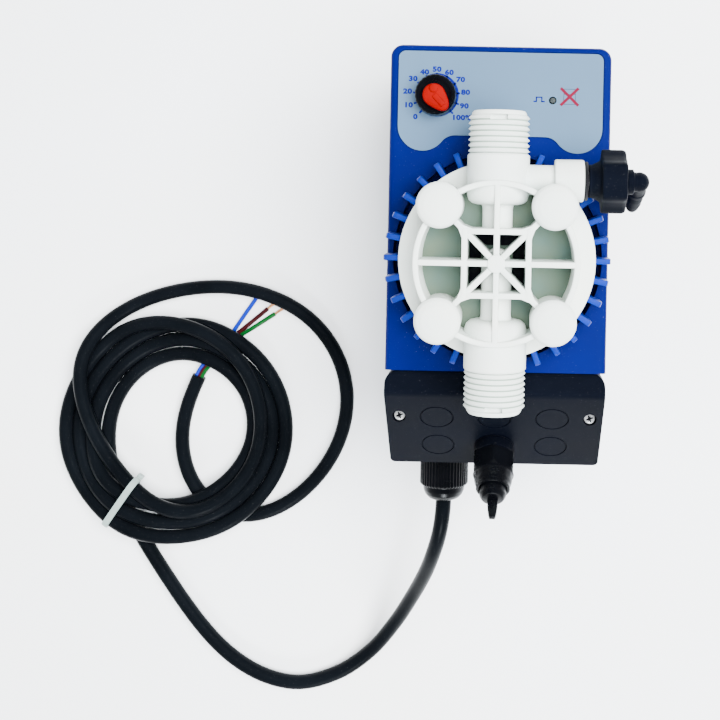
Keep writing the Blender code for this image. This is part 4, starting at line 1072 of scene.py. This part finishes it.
def build_mains_gland():
    at, along, wall = (MAINS[0], 0, MAINS[1]), (0, -1, 0), HEIGHT / 2
    body = [(4.7, wall - 12), (8.0, wall - 12), (8.0, wall + 0.3), (12.4, wall + 0.3),
            (12.4, wall + 2.6), (9.2, wall + 2.6), (9.2, wall + 16), (7.4, wall + 19),
            (4.7, wall + 19)]
    finish_piece("mains_gland_base", turned(body, at, along, steps=72, soft=0.3),
                 "black_plastic", ("mains_gland_body",))

    def ribbed(angle, radius, height):
        if radius < 12.0 or height > wall + 17.3:
            return radius
        return radius - 0.42 * (0.5 - 0.5 * math.cos(44 * angle)) ** 2

    nut = [(12.95, wall + 3.0), (12.95, wall + 16.6), (12.3, wall + 17.4), (11.2, wall + 17.6),
           (11.1, wall + 18.6), (10.9, wall + 20.4), (10.0, wall + 22.6), (8.5, wall + 24.3),
           (6.6, wall + 25.3), (5.0, wall + 25.4), (5.0, wall + 21.4), (9.6, wall + 17.4),
           (9.6, wall + 3.0)]
    finish_piece("mains_gland_cap", turned(nut, at, along, steps=352, soft=0.4, wave=ribbed),
                 "gloss_black", ("mains_gland_nut",))


def build_signal_gland():
    at = slope_point(0, ROW_2)
    body = [(4.0, -10.0), (7.2, -10.0), (7.2, 0.3), (10.0, 0.3), (10.0, 6.4), (6.6, 6.4),
            (6.6, 18.5), (4.0, 18.5)]
    finish_piece("signal_gland_base", turned(body, at, SLOPE_NORMAL, steps=72, soft=0.8),
                 "black_plastic", ("signal_gland_body",))

    def hexed(angle, radius, height):
        if radius < 9.8 or not 6.0 < height < 17.2:
            return radius
        turn = (angle + math.pi / 6) % (math.pi / 3) - math.pi / 6
        return min(radius, 9.75 / math.cos(turn))

    nut = [(11.0, 6.8), (11.0, 8.4), (11.0, 15.4), (10.4, 17.0), (9.6, 17.6), (9.3, 20.6),
           (9.0, 22.0), (8.4, 23.4), (8.4, 25.4), (7.0, 25.4), (7.0, 6.8)]
    finish_piece("signal_gland_cap", turned(nut, at, SLOPE_NORMAL, steps=144, soft=0.35,
                                            wave=hexed), "gloss_black", ("signal_gland_nut",))
    plug = turned([(0, 12.0), (3.6, 12.0), (3.6, 20.0), (6.6, 20.0), (6.6, 28.6), (5.4, 30.6),
                   (0, 31.2)], at, SLOPE_NORMAL, steps=64, soft=0.5)
    half = [(2.7, 27.0), (2.5, 35.0), (2.0, 39.0), (1.4, 41.0)]
    outline = half + [(-x, z) for x, z in reversed(half)]
    tab = eased(stacked([[(x, y, z) for x, z in outline] for y in (-1.3, 1.3)]), 0.4)
    finish_piece("signal_plug", merge([plug, place(tab, at, SLOPE_NORMAL)]), "gloss_black",
                 ("blanking_plug",))


# ---- return spring

def build_spring():
    """The plunger's return spring, a coil of round wire at one fixed length."""
    radius, wire, turns, steps, sides = 6.6, 0.6, 4, 18, 10
    low, high, stroke = -19.6, -10.95, 1.25
    up, rings = Vector((0, 0, 1)), []
    for step in range(turns * steps + 1):
        angle = 2 * math.pi * step / steps
        out = Vector((math.cos(angle), math.sin(angle), 0.0))
        middle = Vector(hub(low + (high - low) * step / (turns * steps))) + out * radius
        rings.append([middle + wire * (out * math.cos(t) + up * math.sin(t))
                      for t in (2 * math.pi * k / sides for k in range(sides))])
    spring = finish_piece("return_spring_coil", stacked(rings), "steel", ("return_spring",))
    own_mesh(spring)


NODE_MATERIALS = {
    "black_plastic": ("wall_bracket", "back_cover", "potentiometer", "coil_bobbin",
                      "diaphragm_support"),
    "lamp_lens": ("indicator_lamp",),
    "steel": ("dial_shaft", "solenoid_can", "solenoid_pole", "armature", "push_rod",
              "priming_clip_ring", *(f"head_screw_{number}" for number in range(1, 5))),
    "board": ("circuit_board",),
    "copper": ("coil_winding",),
    "ptfe": ("diaphragm",),
    "white_plastic": ("suction_valve_seat", "discharge_valve_seat", "suction_valve_cage",
                      "discharge_valve_cage", "priming_stem", "terminal_block"),
    "ceramic": ("suction_ball", "discharge_ball"),
    "rubber": ("suction_o_ring", "discharge_o_ring"),
}


def dress_nodes():
    """Give the CAD nodes that no piece replaces their own materials."""
    for material, nodes in NODE_MATERIALS.items():
        for node in nodes:
            dress(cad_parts[node].data, material)


build_housing()
build_label()
build_print()
build_dial()
build_fins()
build_head()
build_priming()
build_cover()
build_mains_gland()
build_signal_gland()
build_spring()
dress_nodes()
